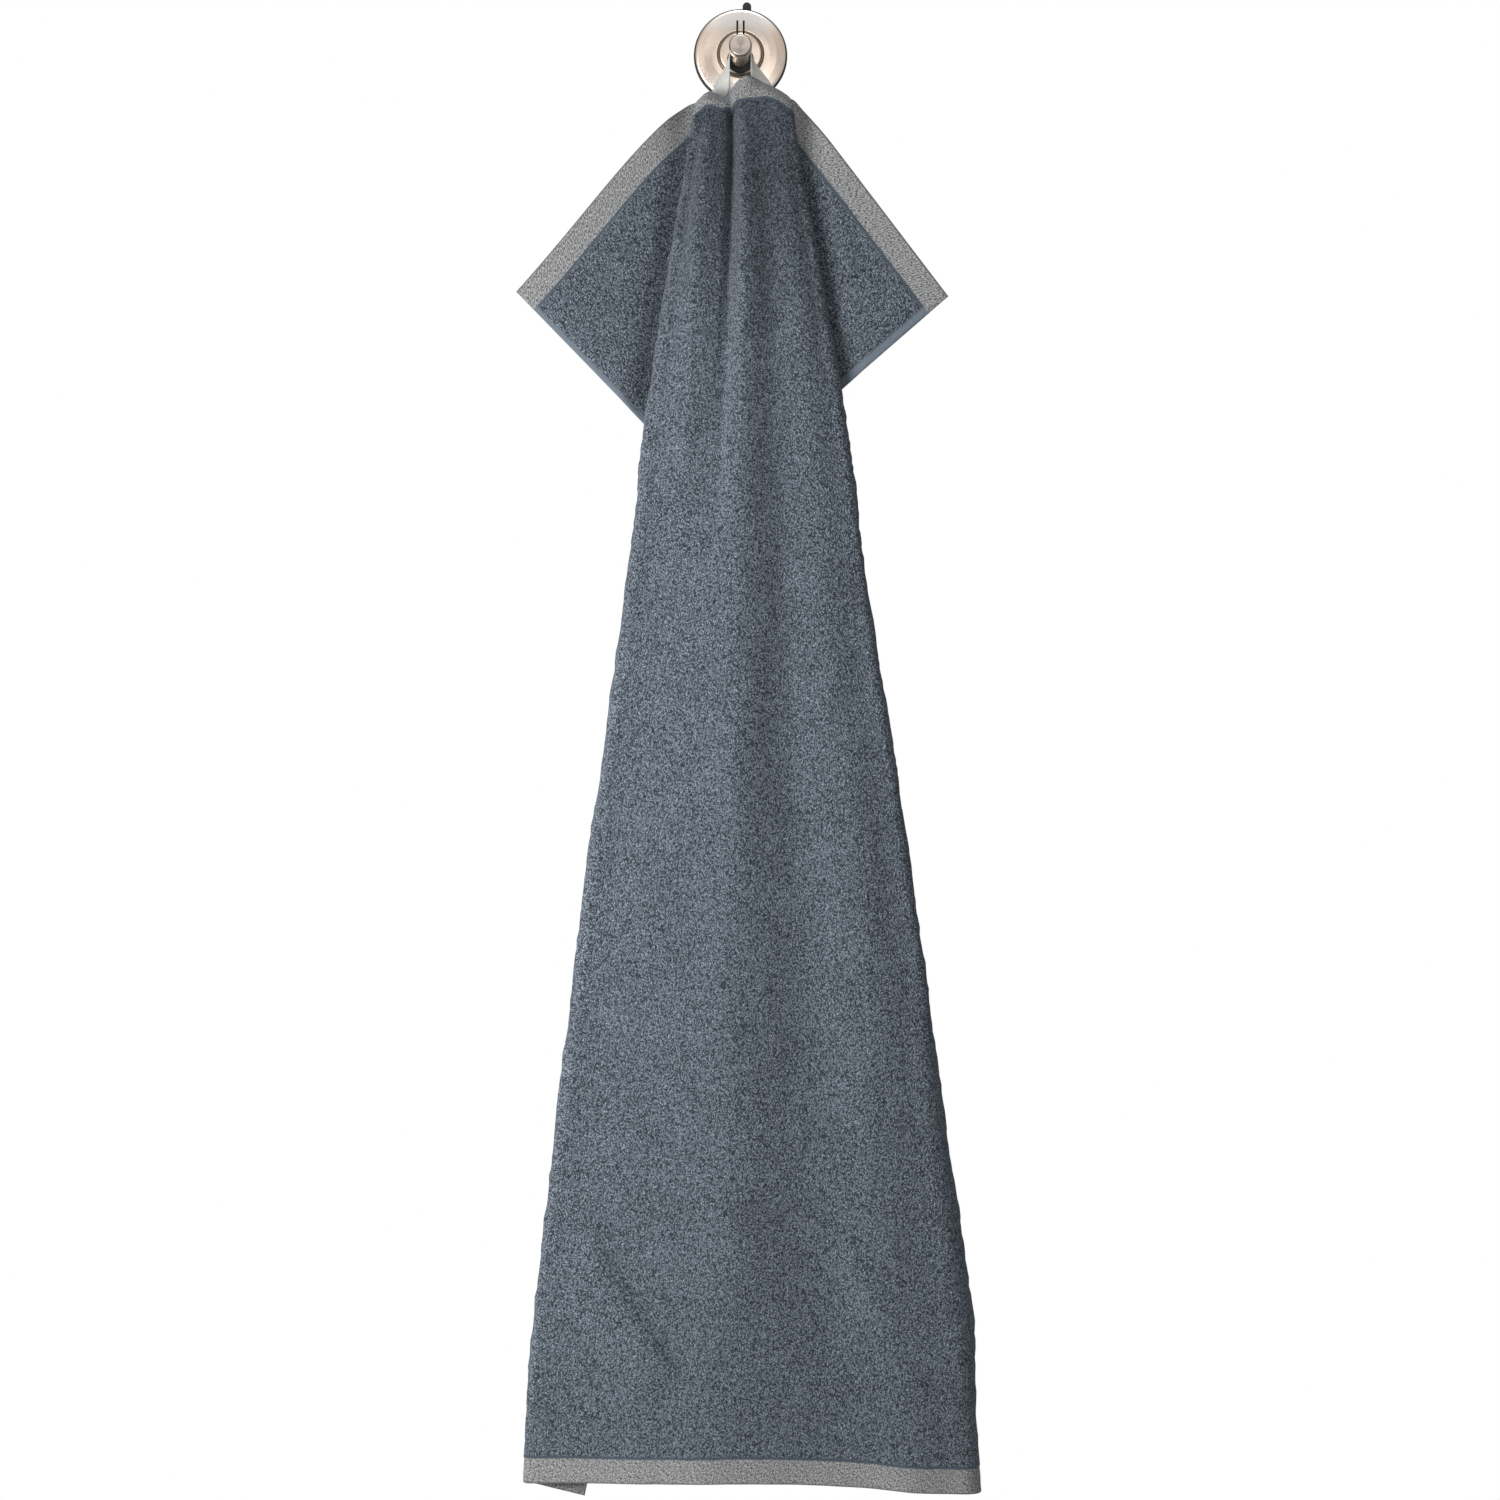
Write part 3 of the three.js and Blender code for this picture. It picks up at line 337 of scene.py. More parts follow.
def sheet_mesh(name, p, thick, maps):
    """A closed sheet: both faces of the cloth and its rim, in metres, with maps
    {name: (front uv, back uv)} on it."""
    rows, cols = p.shape[:2]
    n = normals_of(p)
    half = (thick / 2)[..., None]
    verts = np.concatenate([(p + n * half).reshape(-1, 3), (p - n * half).reshape(-1, 3)]) * MM
    ids = np.arange(rows * cols).reshape(rows, cols)
    back = rows * cols
    a, b, c, d = ids[:-1, :-1].ravel(), ids[1:, :-1].ravel(), ids[1:, 1:].ravel(), ids[:-1, 1:].ravel()
    faces = [np.stack([a, b, c, d], 1), np.stack([a, d, c, b], 1) + back]

    def rim(path):
        i, j = path[:-1], path[1:]
        faces.append(np.stack([i, j, j + back, i + back], 1))

    rim(ids[0, :])
    rim(ids[-1, ::-1])
    rim(ids[::-1, 0])
    rim(ids[:, -1])
    faces = np.concatenate(faces)
    mesh = bpy.data.meshes.new(name)
    mesh.from_pydata(verts.tolist(), [], faces.tolist())
    loops = np.empty(len(mesh.loops), np.int32)
    mesh.loops.foreach_get("vertex_index", loops)
    for map_name, (front, behind) in maps.items():
        layer = mesh.uv_layers.new(name=map_name, do_init=False)
        at = np.concatenate([front.reshape(-1, 2), behind.reshape(-1, 2)]).astype(np.float32)
        layer.uv.foreach_set("vector", at[loops].ravel())
    mesh.polygons.foreach_set("use_smooth", np.ones(len(mesh.polygons), bool))
    mesh.update()
    ob = bpy.data.objects.new(name, mesh)
    bpy.context.scene.collection.objects.link(ob)
    return ob


# Creases left by packing and handling, as soft ridges on the front: from and to
# (x, z), height, and how far they run out on their left or lower side and beyond.
CREASES = [
    dict(start=(-114.0, -835.0), end=(-46.0, -942.0), high=9.5, before=32.0, after=4.8),
    dict(start=(-150.0, -806.0), end=(165.0, -816.0), high=3.2, before=12.0, after=36.0),
    dict(start=(-20.0, -800.0), end=(12.0, -870.0), high=2.6, before=14.0, after=22.0),
    dict(start=(62.0, -838.0), end=(104.0, -905.0), high=4.0, before=10.0, after=14.0),
    dict(start=(-88.0, -560.0), end=(-40.0, -690.0), high=1.6, before=24.0, after=18.0),
    dict(start=(40.0, -430.0), end=(64.0, -620.0), high=1.6, before=16.0, after=20.0),
]


def creases(p):
    total = np.zeros(p.shape[:2])
    for row in CREASES:
        a, b = np.array(row["start"]), np.array(row["end"])
        run = b - a
        long = np.hypot(*run)
        along = ((p[..., 0] - a[0]) * run[0] + (p[..., 2] - a[1]) * run[1]) / long**2
        off = ((p[..., 2] - a[1]) * run[0] - (p[..., 0] - a[0]) * run[1]) / long
        fade = smooth((along + 0.1) / 0.35) * smooth((1.1 - along) / 0.35)
        total += row["high"] * fade * np.exp(-((off / np.where(off < 0, row["before"], row["after"])) ** 2))
    return total


def build_towel():
    p, u, v = towel_grid()
    first = len(HEM_AT) + FLAP_STEPS + INNER_STEPS + BACK_STEPS + QUARTER_L
    front = slice(first, first + QUARTER_L + WAVE_STEPS + 1 + QUARTER_R)
    p[:, front, 1] -= creases(p[:, front])
    n = normals_of(p)
    # slow unevenness of hanging cloth: height, length, angle, start
    uneven = waves(u, v, [(0.55, 173, 24, 0.4), (0.45, 121, -38, 2.1), (0.35, 83, 71, 4.0), (0.22, 47, 12, 1.2), (0.18, 39, -57, 5.1), (0.10, 14.3, 33, 1.0), (0.10, 11.9, -61, 2.2), (0.09, 17.1, 84, 3.3)])
    calm = smooth((v - 30) / 120)
    # the pile stands a little ragged, most of all where it is seen edge-on
    ragged = np.random.default_rng(7).normal(size=u.shape) * (0.10 + 0.26 * (1 - np.abs(n[..., 1])))
    ragged *= smooth((v - 21) / 3) * smooth((TOWEL_LENGTH - 21 - v) / 3) * smooth((np.minimum(u, TOWEL_WIDTH - u) - 8) / 4)
    p = p + n * (uneven * calm + np.clip(ragged, -0.8, 0.8))[..., None]
    thick = cloth_thick(u, v)
    flat = np.stack([u, v], -1) * MM
    bake = np.stack([u / TOWEL_WIDTH * 0.49 + 0.005, 1 - v / TOWEL_LENGTH * 0.99 - 0.005], -1)
    return sheet_mesh("towel_cloth", p, thick, {"cloth": (flat, flat), "OFBake": (bake, bake + np.array([0.5, 0.0]))})


# ------------------------------------------------------------------ the tape loop
TAPE_LEG, TAPE_ARC, TAPE_TUCK, TAPE_ACROSS = 26, 30, 6, 8


def tape_line():
    rise = math.radians(PEG_RISE)
    axis_z = PEG_FOOT_Z + (TAPE_SEAT - GASKET_FRONT) * math.tan(rise)
    seat = np.array([0.0, -TAPE_SEAT, axis_z])
    wrap = NECK_RADIUS + TAPE_REST + TAPE_THICK / 2
    along = np.array([0.0, -math.cos(rise), math.sin(rise)])
    legs, leaves = [], []
    for end, sign in zip(TAPE_ENDS, (-1, 1)):
        hem = np.array([end["x"], end["y"], end["hemZ"]])
        away = math.hypot(hem[0], hem[2] - axis_z)
        leave = math.atan2(hem[2] - axis_z, hem[0] * sign) + math.acos(wrap / away)
        start = np.array([sign * wrap * math.cos(leave), 0.0, wrap * math.sin(leave)]) + seat
        line = []
        for k in range(TAPE_LEG + 1):
            t = k / TAPE_LEG
            twist = math.radians(TAPE_TWIST) * t**1.4
            line.append((lerp(start, hem, t), along * math.cos(twist) + np.array([-sign, 0.0, 0.0]) * math.sin(twist)))
        for k in range(1, TAPE_TUCK + 1):
            t = k / TAPE_TUCK
            line.append((hem + np.array([0.0, end["tuckY"] * t * t, -end["tuck"] * t]), np.array([-sign, 0.0, 0.0])))
        legs.append(line)
        leaves.append(leave)
    over = []
    for k in range(1, TAPE_ARC):
        a = lerp(math.pi - leaves[0], leaves[1], k / TAPE_ARC)
        over.append((np.array([wrap * math.cos(a), 0.0, wrap * math.sin(a)]) + seat, along))
    # the width keeps one direction along the whole tape
    line = legs[0][::-1] + over + legs[1]
    widths = [w / np.linalg.norm(w) for _, w in line]
    return np.array([q for q, _ in line]), np.array(widths)


def build_tape():
    mid, wide = tape_line()
    across = np.linspace(-0.5, 0.5, TAPE_ACROSS + 1)
    p = mid[:, None, :] + wide[:, None, :] * (TAPE_WIDE * across)[None, :, None]
    run = np.concatenate([[0], np.cumsum(np.linalg.norm(np.diff(mid, axis=0), axis=1))])
    u = np.repeat((TAPE_WIDE * (across + 0.5))[None, :], len(mid), 0)
    v = np.repeat(run[:, None], len(across), 1)
    thick = TAPE_THICK * np.sqrt(np.clip(1 - np.abs(across * 2) ** 6, 0.25, 1))[None, :] * np.ones((len(mid), 1))
    flat = np.stack([u, v], -1) * MM
    bake = np.stack([u / TAPE_WIDE * 0.45 + 0.02, v / run[-1] * 0.96 + 0.02], -1)
    ob = sheet_mesh("loop_tape", p, thick, {"cloth": (flat, flat), "OFBake": (bake, bake + np.array([0.5, 0.0]))})
    return ob, run[-1]


# ---------------------------------------------------------------------- the hook
def turned_mesh(name, profile, steps=160, rise=0.0, foot=(0.0, 0.0, 0.0), sharp=38.0):
    """A turned solid about the wall's normal: profile is (radius, out) from the
    back's middle to the front's middle."""
    rise = math.radians(rise)
    verts, faces, rings = [], [], []
    for r, out in profile:
        if r < 1e-6:
            rings.append([len(verts)])
            verts.append((0.0, -out, 0.0))
            continue
        ring = []
        for k in range(steps):
            a = 2 * math.pi * k / steps
            ring.append(len(verts))
            verts.append((r * math.cos(a), -out, r * math.sin(a)))
        rings.append(ring)
    for one, two in zip(rings, rings[1:]):
        for k in range(steps):
            j = (k + 1) % steps
            if len(one) == 1:
                faces.append((one[0], two[k], two[j]))
            elif len(two) == 1:
                faces.append((one[k], two[0], one[j]))
            else:
                faces.append((one[k], two[k], two[j], one[j]))
    pts = np.array(verts)
    y, z = pts[:, 1].copy(), pts[:, 2].copy()
    pts[:, 1] = y * math.cos(rise) + z * math.sin(rise)
    pts[:, 2] = -y * math.sin(rise) + z * math.cos(rise)
    pts += np.array(foot)
    mesh = bpy.data.meshes.new(name)
    mesh.from_pydata((pts * MM).tolist(), [], faces)
    mesh.polygons.foreach_set("use_smooth", np.ones(len(mesh.polygons), bool))
    mesh.update()
    mesh.set_sharp_from_angle(angle=math.radians(sharp))
    ob = bpy.data.objects.new(name, mesh)
    bpy.context.scene.collection.objects.link(ob)
    return ob


def rounded(profile, radius, steps=4):
    """The profile with its corners rounded off."""
    out = [profile[0]]
    for a, b, c in zip(profile, profile[1:], profile[2:]):
        a, b, c = np.array(a, float), np.array(b, float), np.array(c, float)
        la, lc = np.linalg.norm(a - b), np.linalg.norm(c - b)
        cut = min(radius, 0.45 * la, 0.45 * lc)
        s, e = b + (a - b) / la * cut, b + (c - b) / lc * cut
        for k in range(steps + 1):
            t = k / steps
            out.append(tuple((1 - t) ** 2 * s + 2 * t * (1 - t) * b + t * t * e))
    out.append(profile[-1])
    return out


ROSETTE_BACK = 3.35
ROSETTE_PROFILE = [(0, 3.35), (31.6, 3.35), (32.4, 4.3), (32.1, 5.3), (31.0, 5.9), (26.0, 7.0), (21.0, 7.8), (16.9, 8.1), (16.3, 7.2), (15.5, 7.2), (15.0, 9.6), (14.2, 10.3), (0, 10.6)]
SLOT_APART, SLOT_WIDE, SLOT_FROM, SLOT_TO = 4.6, 1.4, 13.6, 24.2
BOSS_FRONT = 10.6


def box_object(name, low, high):
    (x0, y0, z0), (x1, y1, z1) = np.array(low) * MM, np.array(high) * MM
    verts = [(x0, y0, z0), (x1, y0, z0), (x1, y1, z0), (x0, y1, z0), (x0, y0, z1), (x1, y0, z1), (x1, y1, z1), (x0, y1, z1)]
    faces = [(0, 3, 2, 1), (4, 5, 6, 7), (0, 1, 5, 4), (1, 2, 6, 5), (2, 3, 7, 6), (3, 0, 4, 7)]
    mesh = bpy.data.meshes.new(name)
    mesh.from_pydata(verts, [], faces)
    ob = bpy.data.objects.new(name, mesh)
    bpy.context.scene.collection.objects.link(ob)
    return ob


def cut_out(ob, cutters):
    for k, cutter in enumerate(cutters):
        m = ob.modifiers.new(f"cut{k}", "BOOLEAN")
        m.operation, m.object, m.solver = "DIFFERENCE", cutter, "EXACT"
    dg = bpy.context.evaluated_depsgraph_get()
    mesh = bpy.data.meshes.new_from_object(ob.evaluated_get(dg))
    ob.modifiers.clear()
    ob.data = mesh
    for cutter in cutters:
        bpy.data.objects.remove(cutter)
    mesh.polygons.foreach_set("use_smooth", np.ones(len(mesh.polygons), bool))
    mesh.set_sharp_from_angle(angle=math.radians(38))


def joined(ob, cutter):
    m = ob.modifiers.new("join", "BOOLEAN")
    m.operation, m.object, m.solver = "UNION", cutter, "EXACT"
    dg = bpy.context.evaluated_depsgraph_get()
    mesh = bpy.data.meshes.new_from_object(ob.evaluated_get(dg))
    ob.modifiers.clear()
    ob.data = mesh
    bpy.data.objects.remove(cutter)
    mesh.polygons.foreach_set("use_smooth", np.ones(len(mesh.polygons), bool))
    mesh.set_sharp_from_angle(angle=math.radians(38))


def build_hook():
    rosette = turned_mesh("hook_rosette", rounded(ROSETTE_PROFILE, 0.45))
    cutters = []
    for sign in (-1, 1):
        mid = sign * SLOT_APART / 2
        cutters.append(box_object(f"slot{sign}", (mid - SLOT_WIDE / 2, -18, SLOT_FROM), (mid + SLOT_WIDE / 2, 6, SLOT_TO)))
    cut_out(rosette, cutters)
    peg_start = GASKET_FRONT + PIECE_GAP
    peg_profile = [(0, 0.9), (NECK_RADIUS, 0.9), (NECK_RADIUS, 17.6), (7.0, 19.2), (7.9, 20.2), (8.2, 21.4), (8.2, 26.4), (7.9, 27.4), (7.2, 28.1), (0, 28.4)]
    peg = turned_mesh("hook_peg", rounded(peg_profile, 0.5), 96, PEG_RISE, (0, -peg_start, PEG_FOOT_Z))
    ring = [(0, BOSS_FRONT + PIECE_GAP), (9.2, BOSS_FRONT + PIECE_GAP), (9.6, 11.45), (9.6, 12.3), (9.0, 12.9), (0, 12.9)]
    gasket = turned_mesh("hook_gasket", rounded(ring, 0.25), 96, 0, (0, 0, PEG_FOOT_Z))
    pad = turned_mesh("hook_pad", rounded([(0, 0.0), (33.6, 0.0), (33.6, 1.4), (32.5, 3.0), (0, 3.0)], 0.4))
    half, tip, tab_x = 3.1, 38.2, 4.6
    tab = [(tab_x - half, 27.6), (tab_x + half, 27.6)] + [(tab_x + half * math.cos(a), tip - half + half * math.sin(a)) for a in np.linspace(0, math.pi, 15)]
    verts = [(x, -0.3, z) for x, z in tab] + [(x, -2.7, z) for x, z in tab]
    k = len(tab)
    faces = [tuple(range(k - 1, -1, -1)), tuple(range(k, 2 * k))] + [(i, (i + 1) % k, k + (i + 1) % k, k + i) for i in range(k)]
    mesh = bpy.data.meshes.new("tab")
    mesh.from_pydata((np.array(verts) * MM).tolist(), [], faces)
    tab_ob = bpy.data.objects.new("tab", mesh)
    bpy.context.scene.collection.objects.link(tab_ob)
    joined(pad, tab_ob)
    return rosette, peg, gasket, pad


# --------------------------------------------------------------------- materials
class Nodes:
    """A material's node tree, with short ways to add and join nodes."""

    def __init__(self, name):
        self.material = bpy.data.materials.new(name)
        self.material.use_nodes = True
        self.tree = self.material.node_tree
        self.bsdf = next(n for n in self.tree.nodes if n.type == "BSDF_PRINCIPLED")

    def put(self, socket, value):
        if isinstance(value, bpy.types.NodeSocket):
            self.tree.links.new(value, socket)
        else:
            socket.default_value = value

    def add(self, kind, settings=None, **inputs):
        node = self.tree.nodes.new(kind)
        for k, value in (settings or {}).items():
            setattr(node, k, value)
        for k, value in inputs.items():
            self.put(node.inputs[k.replace("_", " ")], value)
        return node

    def math(self, op, a, b=0.0, c=0.0, clamp=False):
        node = self.tree.nodes.new("ShaderNodeMath")
        node.operation, node.use_clamp = op, clamp
        for socket, value in zip(node.inputs, (a, b, c)):
            self.put(socket, value)
        return node.outputs[0]

    def ramp(self, x, low, high, smoothly=True):
        """0 below low, 1 above high."""
        node = self.add("ShaderNodeMapRange", {"interpolation_type": "SMOOTHSTEP" if smoothly else "LINEAR"}, Value=x)
        node.inputs["From Min"].default_value, node.inputs["From Max"].default_value = low, high
        return node.outputs["Result"]

    def mix(self, share, a, b, kind="MIX"):
        node = self.add("ShaderNodeMix", {"data_type": "RGBA", "blend_type": kind})
        self.put(node.inputs[0], share)
        for socket, value in zip([s for s in node.inputs if s.type == "RGBA"], (a, b)):
            self.put(socket, value if isinstance(value, bpy.types.NodeSocket) else (*value, 1.0))
        return next(s for s in node.outputs if s.type == "RGBA")

    def blend(self, share, a, b):
        node = self.add("ShaderNodeMix", {"data_type": "FLOAT"})
        for socket, value in zip(node.inputs[:1] + [s for s in node.inputs if s.type == "VALUE"][1:3], (share, a, b)):
            self.put(socket, value)
        return node.outputs[0]

    def vector(self, op, a, b=None, scale=None):
        node = self.tree.nodes.new("ShaderNodeVectorMath")
        node.operation = op
        self.put(node.inputs[0], a)
        if b is not None:
            self.put(node.inputs[1], b)
        if scale is not None:
            self.put(node.inputs["Scale"], scale)
        return node.outputs[0]

    def noise(self, where, scale, detail=2.0, rough=0.5):
        node = self.add("ShaderNodeTexNoise", None, Vector=where, Scale=scale, Detail=detail, Roughness=rough)
        return node.outputs[0]

    def cells(self, where, scale, chance=1.0):
        node = self.add("ShaderNodeTexVoronoi", None, Vector=where, Scale=scale, Randomness=chance)
        return node.outputs["Distance"], node.outputs["Color"]

    def set(self, **inputs):
        for k, value in inputs.items():
            self.put(self.bsdf.inputs[k.replace("_", " ")], value)


# terry colours: painted shade in the hollows of the pile, the pile's own tone, painted highlight on the loop tops
TERRY_SHADE = (0.018, 0.023, 0.031)
TERRY_MID = (0.178, 0.212, 0.252)
TERRY_HIGHLIGHT = (0.462, 0.520, 0.585)


def cloth_material():
    m = Nodes("terry")
    place = m.add("ShaderNodeUVMap", {"uv_map": "cloth"}).outputs[0]
    mm = m.vector("SCALE", place, scale=1000.0)
    parts = m.add("ShaderNodeSeparateXYZ", None, Vector=mm)
    u, v = parts.outputs[0], parts.outputs[1]
    from_end = m.math("MINIMUM", v, m.math("SUBTRACT", TOWEL_LENGTH, v))
    from_side = m.math("MINIMUM", u, m.math("SUBTRACT", TOWEL_WIDTH, u))
    wobble = m.math("MULTIPLY", m.math("SUBTRACT", m.noise(mm, 0.35, 2.0), 0.5), 0.9)
    end = m.math("ADD", from_end, wobble)
    side = m.math("ADD", m.math("MINIMUM", m.math("ADD", u, 2.4), m.math("SUBTRACT", TOWEL_WIDTH, u)), wobble)

    # loops of the terry: irregular cells in rows, pushed about by noise
    push = m.add("ShaderNodeTexNoise", None, Vector=mm, Scale=0.22, Detail=2.0)
    pushed = m.vector("ADD", mm, m.vector("SCALE", push.outputs["Color"], scale=3.0))
    looped = m.vector("MULTIPLY", pushed, (1 / 1.05, 1 / 1.25, 0.0))
    far, tint = m.cells(looped, 1.0, 0.95)
    loop = m.math("SUBTRACT", 1.0, m.ramp(far, 0.08, 0.72))
    gap = m.add("ShaderNodeTexVoronoi", {"feature": "DISTANCE_TO_EDGE"}, Vector=looped, Scale=1.0, Randomness=0.95).outputs["Distance"]
    fine = m.noise(mm, 1.5, 2.0, 0.6)
    height = m.math("ADD", m.math("MULTIPLY", loop, 0.75), m.math("MULTIPLY", fine, 0.45))
    each = m.add("ShaderNodeSeparateColor", None, Color=tint).outputs[0]
    patch = m.noise(mm, 0.035, 3.0, 0.55)
    # the tone follows the loops' height, painted shade low and painted highlight high, with a random tone for each
    # loop and slow patches
    tone = m.math("ADD", m.math("MULTIPLY", height, 0.80), m.math("MULTIPLY", each, 0.20))
    tone = m.math("ADD", tone, m.math("MULTIPLY", m.math("SUBTRACT", patch, 0.5), 0.12))
    low = m.mix(m.ramp(tone, 0.18, 0.60), TERRY_SHADE, TERRY_MID)
    terry = m.mix(m.ramp(tone, 0.58, 1.10), low, TERRY_HIGHLIGHT)

    # painted shade in the gaps between some of the loops
    between = m.math("MULTIPLY", m.math("SUBTRACT", 1.0, m.ramp(gap, 0.02, 0.16)), m.ramp(m.noise(mm, 0.55, 2.0), 0.42, 0.60))
    terry = m.mix(m.math("MULTIPLY", between, 0.75), terry, TERRY_SHADE)

    # painted shade: the terry is painted darker over the gathered top of the front panel
    across = m.math("ABSOLUTE", m.math("SUBTRACT", u, 0.5 * TOWEL_WIDTH))
    gather_shade = m.math("MULTIPLY", m.math("SUBTRACT", 1.0, m.ramp(v, 40.0, 225.0)), m.math("SUBTRACT", 1.0, m.ramp(across, 50.0, 95.0)))
    terry = m.mix(m.math("MULTIPLY", gather_shade, 0.46), terry, tuple(c * 0.5 for c in TERRY_SHADE))

    # woven border: light and dark yarns in short slanted floats
    slant = m.math("MULTIPLY", m.math("SUBTRACT", u, v), 0.7071)
    rise = m.math("MULTIPLY", m.math("ADD", u, v), 0.7071)
    floats = m.add("ShaderNodeCombineXYZ", None, X=m.math("MULTIPLY", slant, 0.55), Y=m.math("MULTIPLY", rise, 1.6))
    yarn = m.noise(floats.outputs[0], 1.0, 2.0, 0.55)
    band = m.mix(m.ramp(yarn, 0.38, 0.62), (0.073, 0.074, 0.078), (0.385, 0.386, 0.384))
    # painted shade: the border darkens towards its folded outer edge, where the fold rounds off
    fold = m.ramp(from_end, 0.2, 1.6)
    band = m.mix(fold, (0.13, 0.13, 0.134), band)

    # the flat blue weave without loops beside the border, darkened as painted shadow under the border's edge, and the
    # side hems
    threads = m.noise(m.vector("MULTIPLY", mm, (1.6, 0.5, 0.0)), 1.0, 2.0)
    ground_and_shadow = m.mix(threads, (0.042, 0.056, 0.072), (0.080, 0.104, 0.130))
    rib = m.noise(m.vector("MULTIPLY", mm, (0.5, 1.6, 0.0)), 1.0, 2.0)
    hem = m.mix(rib, (0.092, 0.116, 0.143), (0.180, 0.212, 0.246))

    is_band = m.math("SUBTRACT", 1.0, m.ramp(from_end, 17.4, 18.2))
    is_ground_and_shadow = m.math("SUBTRACT", 1.0, m.ramp(end, 18.9, 20.4))
    is_hem = m.math("SUBTRACT", 1.0, m.ramp(side, 5.2, 6.6))
    colour = m.mix(is_ground_and_shadow, terry, ground_and_shadow)
    colour = m.mix(is_hem, colour, hem)
    colour = m.mix(is_band, colour, band)

    flat = m.math("MAXIMUM", is_ground_and_shadow, m.math("MAXIMUM", is_band, is_hem))
    weave = m.math("MULTIPLY", m.blend(is_band, m.blend(is_hem, threads, rib), yarn), 0.35)
    relief = m.blend(flat, height, weave)
    bump = m.add("ShaderNodeBump", None, Strength=1.0, Distance=0.0012, Height=relief)
    m.set(Base_Color=colour, Normal=bump.outputs[0], Roughness=0.93, Specular_IOR_Level=0.18, Sheen_Weight=0.22, Sheen_Roughness=0.5)
    m.bsdf.inputs["Sheen Tint"].default_value = (0.72, 0.80, 0.90, 1.0)
    return m.material


def tape_material():
    m = Nodes("tape")
    place = m.add("ShaderNodeUVMap", {"uv_map": "cloth"}).outputs[0]
    mm = m.vector("SCALE", place, scale=1000.0)
    ribs = m.noise(m.vector("MULTIPLY", mm, (2.4, 0.18, 0.0)), 1.0, 2.0)
    picks = m.noise(m.vector("MULTIPLY", mm, (0.4, 2.2, 0.0)), 1.0, 1.0)
    parts = m.add("ShaderNodeSeparateXYZ", None, Vector=mm)
    edge = m.math("MINIMUM", parts.outputs[0], m.math("SUBTRACT", TAPE_WIDE, parts.outputs[0]))
    weave = m.math("ADD", m.math("MULTIPLY", ribs, 0.7), m.math("MULTIPLY", picks, 0.3))
    colour = m.mix(m.ramp(weave, 0.3, 0.7), (0.49, 0.495, 0.465), (0.64, 0.64, 0.605))
    # painted shade: the tape is painted darker along its edges
    colour = m.mix(m.ramp(edge, 0.3, 1.3), (0.50, 0.505, 0.475), colour)
    bump = m.add("ShaderNodeBump", None, Strength=0.35, Distance=0.0003, Height=weave)
    m.set(Base_Color=colour, Normal=bump.outputs[0], Roughness=m.blend(weave, 0.38, 0.55), Specular_IOR_Level=0.45, Sheen_Weight=0.1)
    return m.material


def metal_material(name, ring_axis, base=(0.75, 0.62, 0.52), rough=0.27, brushed=0.7, highlight_from=16.0, groove_shades=()):
    """Brushed nickel: fine turning lines about the axis, slow tone changes, a painted highlight above and below the
    axis, and rings of painted shade.
    """
    m = Nodes(name)
    where = m.add("ShaderNodeTexCoord").outputs["Object"]
    mm = m.vector("SCALE", where, scale=1000.0)
    parts = m.add("ShaderNodeSeparateXYZ", None, Vector=m.vector("SUBTRACT", mm, ring_axis))
    round_ = m.math("SQRT", m.math("ADD", m.math("POWER", parts.outputs[0], 2.0), m.math("POWER", parts.outputs[2], 2.0)))
    line = m.add("ShaderNodeCombineXYZ", None, X=m.math("MULTIPLY", round_, 3.0), Y=m.math("MULTIPLY", parts.outputs[1], 3.0))
    brush = m.noise(line.outputs[0], 1.0, 4.0, 0.65)
    cloud = m.noise(mm, 0.09, 3.0)
    tone = m.math("ADD", m.math("MULTIPLY", brush, 0.6), m.math("MULTIPLY", cloud, 0.4))
    colour = m.mix(m.ramp(tone, 0.3, 0.7), tuple(c * 0.90 for c in base), tuple(min(1.0, c * 1.06) for c in base))
    # painted highlight: turned metal is painted lighter above and below the axis, where it would catch the light
    upright = m.math("DIVIDE", m.math("ABSOLUTE", parts.outputs[2]), m.math("MAXIMUM", round_, 1.0))
    painted_highlight = m.math("MULTIPLY", m.ramp(upright, 0.45, 1.0), m.ramp(round_, highlight_from, highlight_from + 8.0))
    colour = m.mix(m.math("MULTIPLY", painted_highlight, 0.92), colour, (1.0, 0.96, 0.92))
    # painted shade: a dark ring in each hollow, given as radius, width, strength and from how far out it starts
    for near, wide, deep, out in groove_shades:
        dark = m.math("SUBTRACT", 1.0, m.ramp(m.math("ABSOLUTE", m.math("SUBTRACT", round_, near)), wide * 0.4, wide))
        dark = m.math("MULTIPLY", dark, m.ramp(m.math("MULTIPLY", parts.outputs[1], -1.0), out, out + 1.0))
        colour = m.mix(m.math("MULTIPLY", dark, deep), colour, tuple(c * 0.2 for c in base))
    bump = m.add("ShaderNodeBump", None, Strength=0.10, Distance=0.00012, Height=brush)
    around = m.add("ShaderNodeTangent", {"direction_type": "RADIAL", "axis": "Y"})
    m.set(Base_Color=colour, Metallic=1.0, Roughness=m.math("ADD", m.math("MULTIPLY", brush, 0.12), rough - 0.06), Anisotropic=brushed, Normal=bump.outputs[0], Tangent=around.outputs[0])
    return m.material


def rubber_material():
    m = Nodes("rubber")
    where = m.add("ShaderNodeTexCoord").outputs["Object"]
    mm = m.vector("SCALE", where, scale=1000.0)
    grain = m.noise(mm, 1.4, 3.0)
    dust = m.noise(mm, 0.12, 4.0)
    colour = m.mix(m.ramp(dust, 0.45, 0.8), (0.010, 0.0095, 0.010), (0.026, 0.024, 0.025))
    bump = m.add("ShaderNodeBump", None, Strength=0.15, Distance=0.0002, Height=grain)
    m.set(Base_Color=colour, Normal=bump.outputs[0], Roughness=m.blend(grain, 0.42, 0.62), Specular_IOR_Level=0.4)
    return m.material


